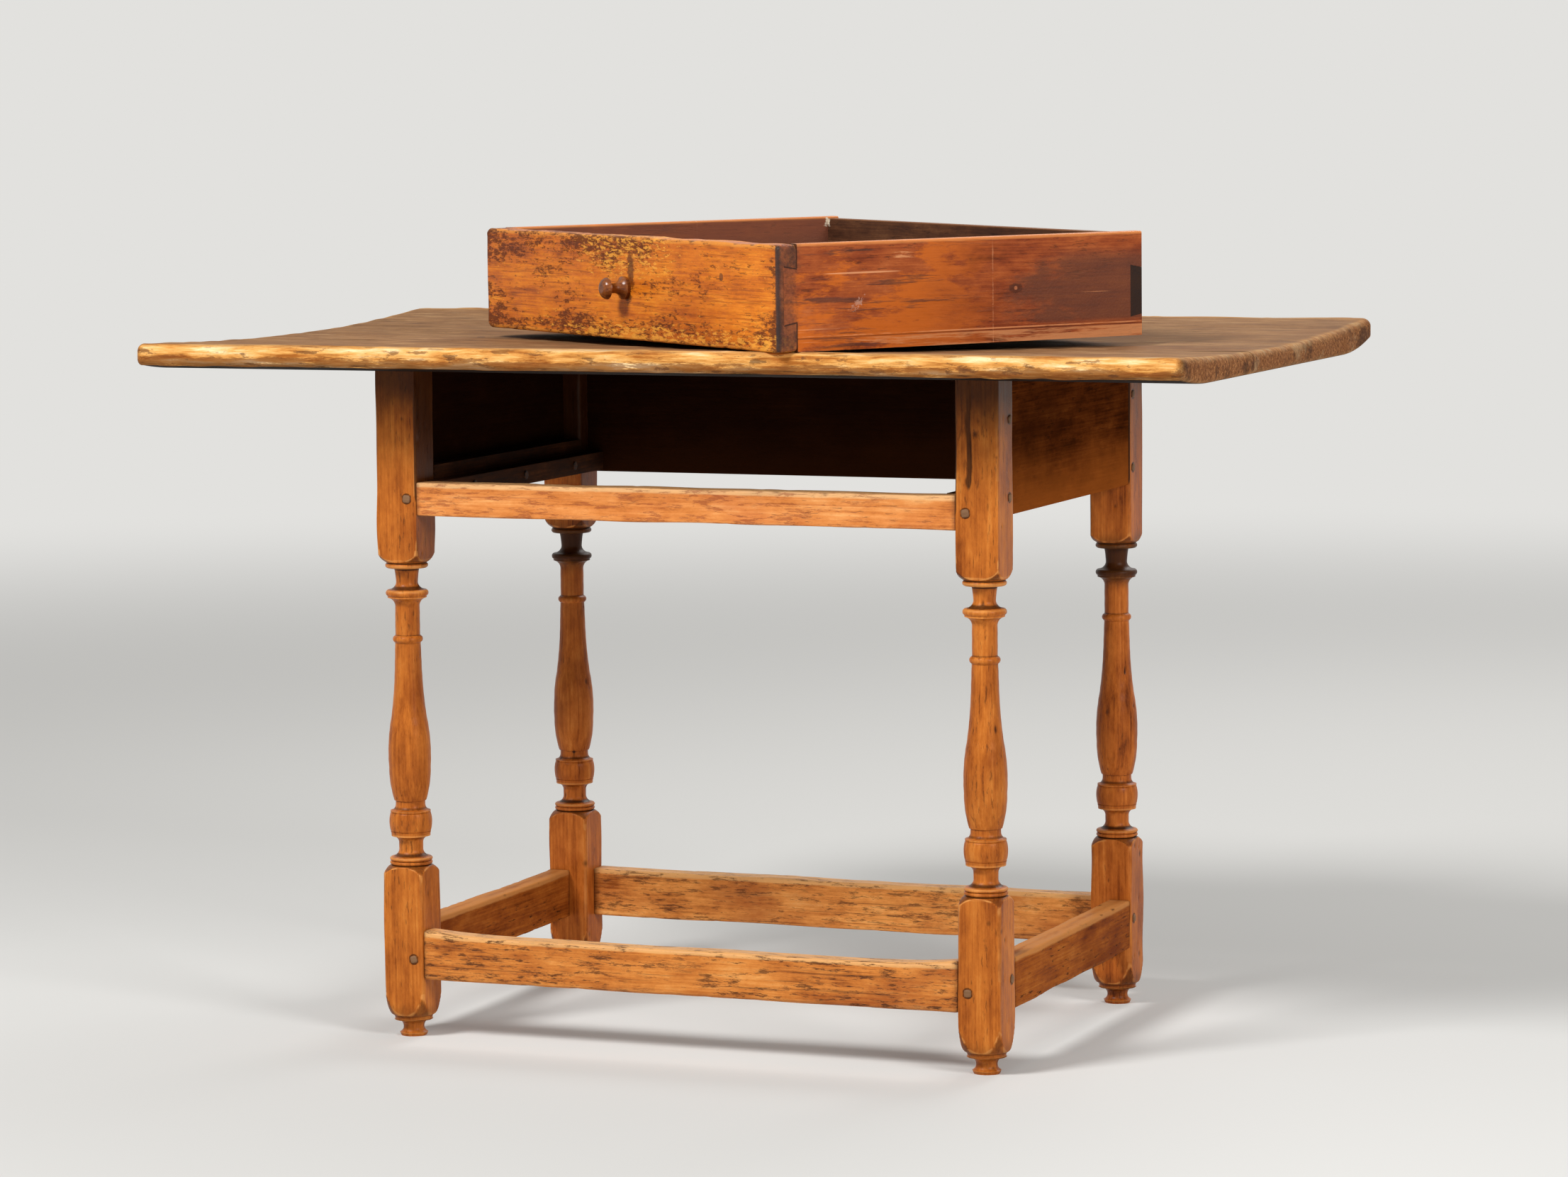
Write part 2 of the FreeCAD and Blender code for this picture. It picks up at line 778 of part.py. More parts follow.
def make_runner(name, side):
    """A ledge that is notched round both legs and nailed to the side apron."""
    body = new_body(name)
    body.setExpression("Placement.Base.z", runner_low.text)
    inside = runner_inside * side
    notch = (shoulder_x - "runner_gap") * side
    outside = apron_inside * side
    leg_face = shoulder_y - "runner_gap"
    plan = add_sketch(body, "XY_Plane", "plan")
    outline(plan, [
        (inside, runner_front),
        (notch, runner_front),
        (notch, -leg_face),
        (outside, -leg_face),
        (outside, leg_face),
        (notch, leg_face),
        (notch, runner_back),
        (inside, runner_back),
    ])
    pad(body, plan, length("runner_height"), "One side")
    holes = add_sketch(body, "YZ_Plane", "nail_holes")
    for y in RUNNER_NAILS:
        circle(holes, y, length("runner_height") / 2, nail_hole_radius)
    pocket(body, holes)
    return body


def make_guide(name, side):
    """A strip that keeps the drawer clear of the apron, level with the legs' inner faces."""
    strip = doc.addObject("Part::Box", name)
    strip.Label = name
    low_x = shoulder_x if side > 0 else -apron_inside
    strip.setExpression("Length", (apron_inside - shoulder_x).text)
    strip.setExpression("Width", ((shoulder_y - "runner_gap") * 2).text)
    strip.setExpression("Height", "sizes.guide_height")
    strip.setExpression("Placement.Base.x", low_x.text)
    strip.setExpression("Placement.Base.y", (-(shoulder_y - "runner_gap")).text)
    strip.setExpression("Placement.Base.z", rail_top.text)
    return strip


def bore_for_runner_nails(body, side):
    """Blind holes from the apron's inner face to the middle of its thickness."""
    holes = add_sketch(body, "YZ_Plane", "nail_holes")
    for y in RUNNER_NAILS:
        circle(holes, y, runner_nail_z, nail_hole_radius)
    pocket(body, holes, "One side", side < 0)


# Drawer, in its own frame: x across from its middle, y back from its front face, z up

drawer_width = shoulder_x * 2 - length("drawer_side_gap") * 2
drawer_depth = leg_y + half_leg + runner_back - "drawer_depth_gap"
drawer_height = bay_height - "drawer_height_gap"
half_width = drawer_width / 2
side_inside = half_width - "side_thickness"
bottom_top = length("bottom_rise") + "bottom_thickness" + joint_gap
back_low = bottom_top + joint_gap
back_front = drawer_depth - "back_thickness"
flare = length("dovetail_flare")
knob_height = drawer_height / 2
bottom_edge = side_inside + "groove_depth" - joint_gap
BOTTOM_NAILS = [length("bottom_nail_pitch") * step for step in (-1, 1)] + [ZERO]
bottom_nail_y = drawer_depth - length("back_thickness") / 2


def stand_on_top(item):
    """Gives a drawer piece the drawer's place: turned, and leaning on the top's two rims."""
    contact_y = half_top - "rim_upper_round"
    front_rise = surface_rise(-contact_y)
    back_rise = surface_rise(contact_y)
    slope = (back_rise - front_rise) / (contact_y * 2)
    lean = Length(math.degrees(math.atan(slope.value)), f"atan({slope.text})")
    turn = Length(sheet.get("drawer_turn_angle"), "(sizes.drawer_turn_angle * 1 deg)")
    middle_z = frame_top + "top_thickness" + (front_rise + back_rise) / 2 + "drawer_stand_gap"
    half_depth = drawer_depth / 2
    place = (
        length("drawer_mid_x") - half_depth * sine(turn),
        -half_depth * cosine(turn) * cosine(lean),
        middle_z - half_depth * cosine(turn) * sine(lean),
    )
    item.setExpression("Placement.Rotation", f"rotationx({lean.text}) * rotationz(0 deg - {turn.text})")
    for letter, value in zip("xyz", place):
        item.setExpression(f"Placement.Base.{letter}", value.text)


def tail_outline(clearance):
    """The single large tail of a side at the front: shoulder corners, then the flared tip."""
    tip = length("front_lap") - clearance
    low = length("tail_rise") - clearance
    high = drawer_height - "tail_drop" + clearance
    return [
        (length("front_thickness"), high),
        (tip, high + flare),
        (tip, low - flare),
        (length("front_thickness"), low),
    ]


def pin_outline(clearance):
    """The wide pin of the back, narrowed towards the end of the sides."""
    low = length("pin_rise") - clearance
    high = drawer_height - "pin_drop" + clearance
    return [
        (drawer_depth, low + flare),
        (back_front - clearance, low),
        (back_front - clearance, high),
        (drawer_depth, high - flare),
    ]


def make_drawer_front():
    body = new_body("drawer_front")
    face = add_sketch(body, "XZ_Plane", "face")
    rectangle(face, -half_width, half_width, ZERO, drawer_height)
    pad(body, face, length("front_thickness"), "One side", True)
    corner_x = half_width.value

    def is_end_edge(edge, side):
        return runs_along(edge, "Y", SAME_PLACE) and abs(middle(edge).x - corner_x * side) < SAME_PLACE

    for side, name in ((-1, "left"), (1, "right")):
        fillet(body, lambda edge: is_end_edge(edge, side), length(f"front_corner_{name}"), f"{name}_corners")
    fillet(body, lambda edge: abs(middle(edge).y) < SAME_PLACE, length("front_round"), "eased")
    for side, name in ((-1, "left_socket"), (1, "right_socket")):
        socket = add_sketch(body, "YZ_Plane", name, (side_inside - joint_gap) * side)
        outline(socket, tail_outline(joint_gap))
        pocket(body, socket, "One side", side > 0)
    groove = add_sketch(body, "YZ_Plane", "groove")
    groove_front = length("front_thickness") - "groove_depth"
    groove_low = length("bottom_rise") - joint_gap
    rectangle(groove, groove_front, length("front_thickness"), groove_low, bottom_top)
    pocket(body, groove, reach=(side_inside + "groove_depth") * 2)
    hole = add_sketch(body, "XZ_Plane", "knob_hole")
    circle(hole, ZERO, knob_height, length("knob_shank_radius") + "peg_gap")
    pocket(body, hole, "One side")
    return body


def make_drawer_side(name, side):
    body = new_body(name)
    start = side_inside if side > 0 else -half_width
    face = add_sketch(body, "YZ_Plane", "face", start)
    shoulder = length("front_thickness")
    outline(face, [
        (shoulder, ZERO),
        (drawer_depth, ZERO),
        *pin_outline(joint_gap),
        (drawer_depth, drawer_height),
        (shoulder, drawer_height),
        *tail_outline(ZERO),
    ])
    pad(body, face, length("side_thickness"), "One side")
    top_edge = drawer_height.value

    def is_top_edge(edge):
        return runs_along(edge, "Y", top_edge) and abs(middle(edge).z - top_edge) < SAME_PLACE

    fillet(body, is_top_edge, length("side_round"), "eased")
    groove = add_sketch(body, "XZ_Plane", "groove")
    near, far = side_inside * side, (side_inside + "groove_depth") * side
    rectangle(groove, near, far, length("bottom_rise") - joint_gap, bottom_top)
    pocket(body, groove)
    return body


def make_drawer_back():
    body = new_body("drawer_back")
    board = add_sketch(body, "XZ_Plane", "board", -drawer_depth)
    rectangle(board, -side_inside, side_inside, back_low, drawer_height - "back_drop")
    pad(body, board, length("back_thickness"), "One side")
    pins = add_sketch(body, "YZ_Plane", "pins")
    outline(pins, pin_outline(ZERO))
    pad(body, pins, drawer_width)
    holes = add_sketch(body, "XY_Plane", "nail_holes", back_low + "bottom_nail_bite")
    for x in BOTTOM_NAILS:
        circle(holes, x, bottom_nail_y, nail_hole_radius)
    pocket(body, holes, "One side")
    return body


def make_drawer_bottom():
    body = new_body("drawer_bottom")
    board = add_sketch(body, "XY_Plane", "board", length("bottom_rise"))
    front_edge = length("front_thickness") - "groove_depth" + joint_gap
    rectangle(board, -bottom_edge, bottom_edge, front_edge, drawer_depth)
    pad(body, board, length("bottom_thickness"), "One side")
    holes = add_sketch(body, "XY_Plane", "nail_holes")
    for x in BOTTOM_NAILS:
        circle(holes, x, bottom_nail_y, nail_hole_radius)
    pocket(body, holes)
    return body


def make_knob():
    """A turned knob: a shank through the front, a flange, a neck and a domed head."""
    body = new_body("drawer_knob")
    profile = add_sketch(body, "XY_Plane", "profile", knob_height)
    shank = length("knob_shank_radius")
    inside = length("front_thickness") + "knob_shank_end"
    flange = (length("knob_flange_radius"), -length("knob_flange_height"))
    neck = (length("knob_neck_radius"), flange[1] - "knob_neck_height")
    head = (length("knob_head_radius"), neck[1] - "knob_head_rise")
    crown = (length("knob_crown_radius"), neck[1] - "knob_head_height")
    outline(profile, [
        (ZERO, inside),
        (shank, inside),
        (shank, ZERO),
        (flange[0], ZERO),
        flange,
        quarter(neck, flange, True),
        neck,
        quarter(neck, head, True),
        head,
        quarter(crown, head, False),
        crown,
        (ZERO, crown[1]),
    ])
    turning = body.newObject("PartDesign::Revolution", "drawer_knob_turned")
    turning.Profile = profile
    turning.ReferenceAxis = (profile, ["V_Axis"])
    turning.Angle = 360
    return body


# Putting the table together

pieces = []
for end_name, side_y in (("front", -1), ("back", 1)):
    for side_name, side_x in (("left", -1), ("right", 1)):
        pieces.append(make_leg(f"{end_name}_{side_name}_leg", side_x, side_y))

pieces.append(make_member("drawer_rail", "rail", "X", -1))
back_apron = make_member("back_apron", "apron", "X", 1)
bore_for_pins(back_apron, True, PIN_PLACES["rear_back"])
pieces.append(back_apron)
side_pins = PIN_PLACES["front"] + PIN_PLACES["rear_sides"]
for side_name, side in (("left", -1), ("right", 1)):
    apron = make_member(f"{side_name}_apron", "apron", "Y", side)
    bore_for_pins(apron, False, [place for place in side_pins if place[0].value * side > 0])
    bore_for_runner_nails(apron, side)
    pieces.append(apron)

pieces.append(make_member("front_stretcher", "stretcher", "X", -1, length("stretcher_wear")))
pieces.append(make_member("back_stretcher", "stretcher", "X", 1))
pieces.append(make_member("left_stretcher", "stretcher", "Y", -1))
pieces.append(make_member("right_stretcher", "stretcher", "Y", 1))

pieces.append(make_group("drawer_rail_pegs", joint_pegs("rail", "X", [-1])))
pieces.append(make_group("back_apron_pegs", joint_pegs("apron", "X", [1])))
pieces.append(make_group("side_apron_pegs", joint_pegs("apron", "Y", [-1, 1])))
stretcher_pegs = joint_pegs("stretcher", "X", [-1, 1]) + joint_pegs("stretcher", "Y", [-1, 1])
pieces.append(make_group("stretcher_pegs", stretcher_pegs))

rear_pins = PIN_PLACES["rear_sides"] + PIN_PLACES["rear_back"]
front_corners = ("corner_left_front", "corner_right_front")
back_corners = ("corner_left_back", "corner_right_back")
pieces.append(make_top_board("top_board_front", -1, front_corners, PIN_PLACES["front"]))
pieces.append(make_top_board("top_board_rear", 1, back_corners, rear_pins))
top_pins = []
for x, y in PIN_PLACES["front"] + rear_pins:
    reach = length("pin_depth") + "top_thickness" + surface_rise(y)
    top_pins.append(rod("top_pin", length("peg_radius"), reach, (x, y, frame_top - "pin_depth"), (0, 0, 1)))
pieces.append(make_group("top_pins", top_pins))

runner_nails = []
for side_name, side in (("left", -1), ("right", 1)):
    pieces.append(make_runner(f"{side_name}_runner", side))
    pieces.append(make_guide(f"{side_name}_guide", side))
    reach = apron_inside - runner_inside + length("apron_thickness") / 2 - "peg_gap"
    for y in RUNNER_NAILS:
        place = (runner_inside * side, y, runner_nail_z)
        runner_nails.append(nail("runner_nail", reach, place, (side, 0, 0)))
pieces.append(make_group("runner_nails", runner_nails))

bottom_nails = []
for x in BOTTOM_NAILS:
    reach = back_low + "bottom_nail_bite" - "bottom_rise" - "nail_gap"
    bottom_nails.append(nail("bottom_nail", reach, (x, bottom_nail_y, length("bottom_rise")), (0, 0, 1)))
drawer_pieces = [
    make_drawer_front(),
    make_drawer_side("drawer_left_side", -1),
    make_drawer_side("drawer_right_side", 1),
    make_drawer_back(),
    make_drawer_bottom(),
    make_group("drawer_bottom_nails", bottom_nails),
    make_knob(),
]
for piece in drawer_pieces:
    stand_on_top(piece)
pieces.extend(drawer_pieces)

# Every feature has to have worked, every cut has to have taken wood away, and every solid be sound
doc.recompute()
for item in doc.Objects:
    if "Invalid" in item.State or "Error" in item.State:
        raise RuntimeError(f"{item.Name} failed: {item.State}")
    if item.TypeId in ("PartDesign::Pocket", "PartDesign::Groove"):
        if item.Shape.Volume > item.BaseFeature.Shape.Volume - LEAST_CUT:
            raise RuntimeError(f"{item.Name} cuts nothing")
for piece in pieces:
    if piece.Shape.isNull() or not piece.Shape.isValid():
        raise RuntimeError(f"{piece.Label} is not a sound shape")

os.makedirs("parts", exist_ok=True)
for piece in pieces:
    piece.Shape.exportStep(f"parts/{piece.Label}.step")
    box = piece.Shape.optimalBoundingBox()
    print(f"{piece.Label}: {len(piece.Shape.Solids)} solid(s), {piece.Shape.Volume / 1000:.1f} cm3, "
          f"x {box.XMin:.1f} {box.XMax:.1f}, y {box.YMin:.1f} {box.YMax:.1f}, "
          f"z {box.ZMin:.1f} {box.ZMax:.1f}")
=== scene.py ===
import math

import bpy
import numpy as np
from mathutils import Matrix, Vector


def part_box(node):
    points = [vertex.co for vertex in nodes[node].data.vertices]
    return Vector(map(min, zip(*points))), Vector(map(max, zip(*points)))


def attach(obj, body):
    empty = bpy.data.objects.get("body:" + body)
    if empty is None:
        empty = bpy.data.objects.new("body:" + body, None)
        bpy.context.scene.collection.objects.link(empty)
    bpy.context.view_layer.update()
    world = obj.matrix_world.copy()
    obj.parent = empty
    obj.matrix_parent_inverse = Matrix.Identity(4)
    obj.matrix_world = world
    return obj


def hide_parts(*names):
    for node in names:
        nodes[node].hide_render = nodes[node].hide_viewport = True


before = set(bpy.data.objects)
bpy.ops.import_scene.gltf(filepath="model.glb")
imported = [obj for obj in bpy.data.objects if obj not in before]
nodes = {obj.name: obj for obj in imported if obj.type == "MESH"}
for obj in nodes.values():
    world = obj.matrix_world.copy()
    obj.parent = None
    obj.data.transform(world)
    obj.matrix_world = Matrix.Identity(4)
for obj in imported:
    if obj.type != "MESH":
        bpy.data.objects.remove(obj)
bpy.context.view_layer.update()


# Legs: four sticks of maple, turned on a lathe between square blocks that take the rails.
# The old varnish is honey-orange, pale on the worn crests and dark with grime in the hollows.

mm = 0.001
RIPPLE_WAVES = 14
TONE_STEPS = (0.37, 0.46, 0.54, 0.65)
LEG_EASE, EASE_SWAY, SWAY_LENGTH = 2.5 * mm, 0.9 * mm, 90 * mm
LEG_COLUMNS = 25
LEG_ROW = 0.75 * mm
LEAST_STEP = 0.2 * mm
STEP_RISE = 0.02 * mm
SHOULDER_REACH = 20 * mm
FOOT_ROUND = 23 * mm
LEG_DENTS, LEG_DENT_DEPTH = 70, 0.7 * mm
CHATTER_DEPTH, CHATTER_PACE = 0.05 * mm, 1.9 * mm
SPLIT_LEG, SPLIT_FOOT, SPLIT_FADE = "front_right_leg", 543 * mm, 30 * mm
SPLIT_TURN, SPLIT_WIDTH, SPLIT_DEPTH = 1.5 * math.pi - 0.34, 1.9 * mm, 1.8 * mm
HOLLOW_SAMPLES, HOLLOW_STEP, HOLLOW_DEPTH = 14, 0.5 * mm, 1.5 * mm
ARCH_LINE, ARCH_BREAKS = 0.9 * mm, 12 * mm
SHADED = 80 * mm
SOOT_MIDDLE, SOOT_REACH = 446 * mm, 28 * mm
MUD_MIDDLE, MUD_REACH = 22 * mm, 15 * mm
BAY_DROP, BAY_FADE = 20 * mm, 10 * mm
PEG_RADIUS = 4 * mm
PEG_RING, PEG_RING_WIDTH = 4.6 * mm, 1.1 * mm


def srgb(tone):
    """A colour given as screen values from 0 to 255, as the linear values that shaders take."""
    screen = np.array(tone) / 255
    linear = np.where(screen <= 0.04045, screen / 12.92, ((screen + 0.055) / 1.055) ** 2.4)
    return (*linear, 1.0)


def fit_piece(name, grid, attributes, material, body, replaced, sharp=35):
    """A closed mesh from a grid of points: each row is a loop round the piece, the rows follow its
    length, and flat ends close the first and last loops. A stack of grids gives as many solids.
    Edges that turn by more than sharp degrees stay crisp."""
    rows, columns = grid.shape[-3:-1]
    index = np.arange(grid.size // 3).reshape(-1, rows, columns)
    beside = np.roll(index, -1, axis=2)
    quads = np.stack([index[:, :-1], beside[:, :-1], beside[:, 1:], index[:, 1:]], axis=-1)
    ends = index[:, 0, ::-1].tolist() + index[:, -1].tolist()
    mesh = bpy.data.meshes.new(name)
    mesh.from_pydata(grid.reshape(-1, 3), [], quads.reshape(-1, 4).tolist() + ends)
    for label, values in attributes.items():
        layer = mesh.attributes.new(label, "FLOAT", "POINT")
        layer.data.foreach_set("value", np.broadcast_to(values, grid.shape[:-1]).ravel())
    mesh.shade_smooth()
    mesh.set_sharp_from_angle(angle=math.radians(sharp))
    mesh.materials.append(material)
    piece = bpy.data.objects.new(name, mesh)
    bpy.context.scene.collection.objects.link(piece)
    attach(piece, body)
    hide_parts(replaced)


def ripple(seed, across, along, wavelength):
    """A smooth random field of about unit height: a sum of plane waves with random directions
    and phases, whose lengths lie round the given one."""
    draw = np.random.default_rng(seed)
    field = np.zeros(np.broadcast(across, along).shape)
    for turn, phase, stretch in draw.random((RIPPLE_WAVES, 3)):
        heading = 2 * math.pi * turn
        pace = 2 * math.pi / (wavelength * (0.6 + stretch))
        way = math.cos(heading) * across + math.sin(heading) * along
        field += np.sin(pace * way + 2 * math.pi * phase)
    return field / math.sqrt(RIPPLE_WAVES / 2)


def node(kind, inputs, tree=None, **settings):
    """Adds a shader node, with its settings, and its inputs set to a value or linked. It goes to the
    given tree, or to the one that its links come from."""
    links = {key: value for key, value in inputs.items() if isinstance(value, bpy.types.NodeSocket)}
    tree = tree or next(iter(links.values())).id_data
    made = tree.nodes.new(kind)
    for key, value in settings.items():
        setattr(made, key, value)
    for key, value in inputs.items():
        if key in links:
            tree.links.new(value, made.inputs[key])
        else:
            made.inputs[key].default_value = value
    return made


def bare_material(name):
    """A new material, and its emptied node tree."""
    material = bpy.data.materials.new(name)
    material.use_nodes = True
    material.node_tree.nodes.clear()
    return material, material.node_tree


def object_place(tree):
    return node("ShaderNodeTexCoord", {}, tree).outputs["Object"]


def attribute(tree, label):
    return node("ShaderNodeAttribute", {}, tree, attribute_name=label).outputs["Fac"]


def maths(operation, first, second=0.0):
    return node("ShaderNodeMath", {0: first, 1: second}, operation=operation).outputs[0]


def weigh(*shares):
    """The sum of values, each times its weight."""
    total = 0.0
    for value, weight in shares:
        inputs = {0: value, 1: weight, 2: total}
        total = node("ShaderNodeMath", inputs, operation="MULTIPLY_ADD").outputs[0]
    return total


def both(*masks):
    """The product of masks."""
    product = masks[0]
    for mask in masks[1:]:
        product = maths("MULTIPLY", product, mask)
    return product


def between(value, low, high):
    """Zero below low, one above high, and a smooth rise between them; falls if high is below low."""
    inputs = {"Value": value, "From Min": low, "From Max": high}
    return node("ShaderNodeMapRange", inputs, interpolation_type="SMOOTHSTEP").outputs[0]


def grain(place, pull, scale, detail, rough, warp=0.0, across=1.0):
    """A noise pulled out along the grain, which runs along the first axis of its place."""
    inputs = {0: place, 1: (pull, across, across)}
    drawn = node("ShaderNodeVectorMath", inputs, operation="MULTIPLY").outputs[0]
    inputs = {"Vector": drawn, "Scale": scale, "Detail": detail, "Roughness": rough, "Distortion": warp}
    return node("ShaderNodeTexNoise", inputs).outputs["Fac"]


def patches(place, pull, scale, detail, rough, low, high):
    """Ragged patches along the grain: the pulled noise, cut by a smooth rise between two levels."""
    return between(grain(place, pull, scale, detail, rough), low, high)


def blend(factor, first, second):
    """Goes from one colour to another by a factor; each is a screen colour or linked."""
    first, second = (srgb(tone) if isinstance(tone, tuple) else tone for tone in (first, second))
    return node("ShaderNodeMix", {0: factor, 6: first, 7: second}, data_type="RGBA").outputs[2]


def lay(colour, *coats):
    """Lays tones over a colour, one after another, each by a share of its mask."""
    for mask, share, tone in coats:
        colour = blend(weigh((mask, share)), colour, tone)
    return colour


def ramp(value, tones):
    """Picks a tone from dark to light by a value."""
    made = node("ShaderNodeValToRGB", {"Fac": value})
    while len(made.color_ramp.elements) < len(tones):
        made.color_ramp.elements.new(0.5)
    for element, step, tone in zip(made.color_ramp.elements, TONE_STEPS, tones):
        element.position = step
        element.color = srgb(tone)
    return made.outputs["Color"]


def old_wood(name, turn, start, tones, stain, worn, grime, gloss=(0.34, 0.56), flecks=0.5, sheen=0.18,
             finish=None):
    """Aged wood. Hairlines and a broader figure along the grain, and a blotchy patina, pick a tone
    from dark to light; a stain lies in patches; short dark dashes follow the grain; a pale mark of
    wear and painted highlight and a dark mark of dirt and painted shade come from the mesh. Stain
    and the two marks are each a share and a tone."""
    material, tree = bare_material(name)
    inputs = {"Vector": object_place(tree), "Rotation": turn, "Location": start}
    place = node("ShaderNodeMapping", inputs).outputs[0]
    hairline = grain(place, 0.025, 420, 4, 0.68)
    figure = grain(place, 0.08, 70, 5, 0.6, warp=0.3)
    patina = grain(place, 0.4, 38, 8, 0.74)
    broken = grain(place, 0.35, 60, 6, 0.7)
    cloud = patches(place, 0.4, 9, 8, 0.68, 0.48, 0.66)
    crowd = patches(place, 0.4, 16, 5, 0.6, 0.44, 0.58)
    fleck = both(patches(place, 0.16, 380, 4, 0.65, 0.58, 0.65), crowd)
    # The pale mark: wear, and painted highlights where the mesh asks for them.
    paler = between(weigh((attribute(tree, "worn"), 1.0), (broken, 0.7)), 0.6, 1.05)
    # The dark mark: dirt, and painted shade where the mesh asks for it.
    dirt_and_shade = between(weigh((attribute(tree, "grime"), 1.0), (broken, 0.5)), 0.5, 1.1)
    colour = ramp(weigh((hairline, 0.3), (figure, 0.18), (patina, 0.52)), tones)
    colour = lay(colour, (cloud, *stain), (fleck, flecks, grime[1]), (paler, *worn), (dirt_and_shade, *grime))

    shine = {"Value": weigh((patina, 0.5), (hairline, 0.5)), "From Min": 0.35, "From Max": 0.65,
             "To Min": gloss[0], "To Max": gloss[1]}
    rough = node("ShaderNodeMapRange", shine).outputs[0]
    height = weigh((hairline, 0.6), (patina, 0.5), (fleck, -0.5))
    if finish:
        colour, rough, height = finish(tree, place, colour, rough, height)
    bump = node("ShaderNodeBump", {"Height": height, "Strength": 0.5, "Distance": 0.6 * mm})
    coat = {"Base Color": colour, "Roughness": rough, "Normal": bump.outputs[0]}
    shader = node("ShaderNodeBsdfPrincipled", coat)
    shader.inputs["Specular IOR Level"].default_value = sheen
    node("ShaderNodeOutputMaterial", {"Surface": shader.outputs[0]})
    return material


ALONG_Z = (0, math.pi / 2, 0)
# The one dark tone laid for dirt and for painted shade.
GRIME_AND_SHADE = (40, 20, 10)
MAPLE_TONES = ((124, 60, 18), (165, 88, 30), (189, 107, 39), (211, 133, 58))
BACK_TONES = ((106, 48, 15), (160, 82, 28), (187, 103, 39), (212, 131, 60))
# Each leg's grime share also sets how dark its painted shade is, a little darker on the back legs.
front_maple = old_wood("front_leg_maple", ALONG_Z, (0.31, 0.17, 0.53), MAPLE_TONES, (0.5, (112, 46, 13)),
                       (0.55, (222, 154, 84)), (0.82, GRIME_AND_SHADE), gloss=(0.24, 0.44), sheen=0.1)
back_maple = old_wood("back_leg_maple", ALONG_Z, (0.11, 0.67, 0.23), BACK_TONES, (0.5, (92, 36, 12)),
                      (0.55, (212, 142, 76)), (0.92, GRIME_AND_SHADE), gloss=(0.24, 0.44), sheen=0.1)


def lathe_profile(leg, middle, stock):
    """Radius against height, read from the frame's leg: the rings of its turned stretches, with
    two radii where there is a step, the sloped shoulders, and no limit inside the blocks."""
    points = np.array([vertex.co for vertex in leg.data.vertices])
    radius = np.hypot(points[:, 0] - middle[0], points[:, 1] - middle[1])
    levels, which = np.unique(np.round(points[:, 2], 6), return_inverse=True)
    widest = np.zeros(len(levels))
    slimmest = np.full(len(levels), 1.0)
    np.maximum.at(widest, which, radius)
    np.minimum.at(slimmest, which, radius)
    turned = widest < stock - 0.1 * mm
    to_turned = np.abs(levels[:, None] - levels[None, turned]).min(axis=1)
    shoulder = ~turned & (to_turned < SHOULDER_REACH)
    widest = np.where(turned | shoulder, widest, stock * 1.6)
    below = np.concatenate([[widest[0]], widest[:-1]])
    stepped = turned & (widest - slimmest > LEAST_STEP)
    wide_first = np.abs(below - widest) < np.abs(below - slimmest)
    first = np.where(stepped & ~wide_first, slimmest, widest)
    second = np.where(stepped & wide_first, slimmest, widest)
    heights = np.stack([levels, levels + STEP_RISE], axis=1).ravel()
    return heights, np.stack([first, second], axis=1).ravel()


BALL_FOOT, BALL_RING, BALL_HEAD = 201.3 * mm, 220.4 * mm, 222 * mm
BALL_EDGE, BALL_BELLY, RING_EDGE = 18.7 * mm, 20.8 * mm, 19.5 * mm
NECK_FOOT, NECK_RADIUS = 228 * mm, 14.4 * mm
VASE_FOOT, VASE_BELLY = 232 * mm, 264 * mm
VASE_FOOT_RADIUS, VASE_BELLY_RADIUS = 15.6 * mm, 20.3 * mm
COVE_FOOT, COVE_WAIST, COVE_HEAD = 438 * mm, 444 * mm, 459.5 * mm
COVE_WAIST_RADIUS, COVE_HEAD_RADIUS, COVE_FLARE, COVE_REACH = 10.6 * mm, 12.4 * mm, 8.6 * mm, 8 * mm
CRISP_STEPS = np.array([BALL_FOOT, BALL_RING, BALL_HEAD, VASE_FOOT])


def quarter_round(share):
    """One less the height of a quarter circle: one where the share is zero, flat where it is one."""
    return 1 - np.sqrt(1 - np.clip(1 - share, 0, 1) ** 2)


def crisp_turning(rows, plain):
    """The finest turnings, over the frame's profile: the ball is half an ellipse under a narrow ring,
    a hollow quarter round leads to the neck, the vase's parabola stands out over it, and below the
    cap ring the cove has its waist low down and flares to the ring."""
    ball_middle, ball_half = (BALL_FOOT + BALL_RING) / 2, (BALL_RING - BALL_FOOT) / 2
    bulge = np.sqrt(np.clip(1 - ((rows - ball_middle) / ball_half) ** 2, 0, 1))
    ball = BALL_EDGE + (BALL_BELLY - BALL_EDGE) * bulge
    fall = quarter_round((rows - BALL_HEAD) / (NECK_FOOT - BALL_HEAD))
    neck = NECK_RADIUS + (RING_EDGE - NECK_RADIUS) * fall
    swell = np.clip(1 - ((VASE_BELLY - rows) / (VASE_BELLY - VASE_FOOT)) ** 2, 0, 1)
    vase = VASE_FOOT_RADIUS + (VASE_BELLY_RADIUS - VASE_FOOT_RADIUS) * swell
    climb = np.clip((rows - COVE_WAIST) / (COVE_HEAD - COVE_WAIST), 0, 1)
    cove = (COVE_WAIST_RADIUS + (COVE_HEAD_RADIUS - COVE_WAIST_RADIUS) * climb ** 2
            + COVE_FLARE * quarter_round((rows - COVE_FOOT) / COVE_REACH))
    cut = plain
    for start, radius in ((BALL_FOOT, ball), (BALL_RING, RING_EDGE), (BALL_HEAD, neck),
                          (VASE_FOOT, vase), (VASE_BELLY, plain), (COVE_FOOT, cove), (COVE_HEAD, plain)):
        cut = np.where(rows > start, radius, cut)
    return cut


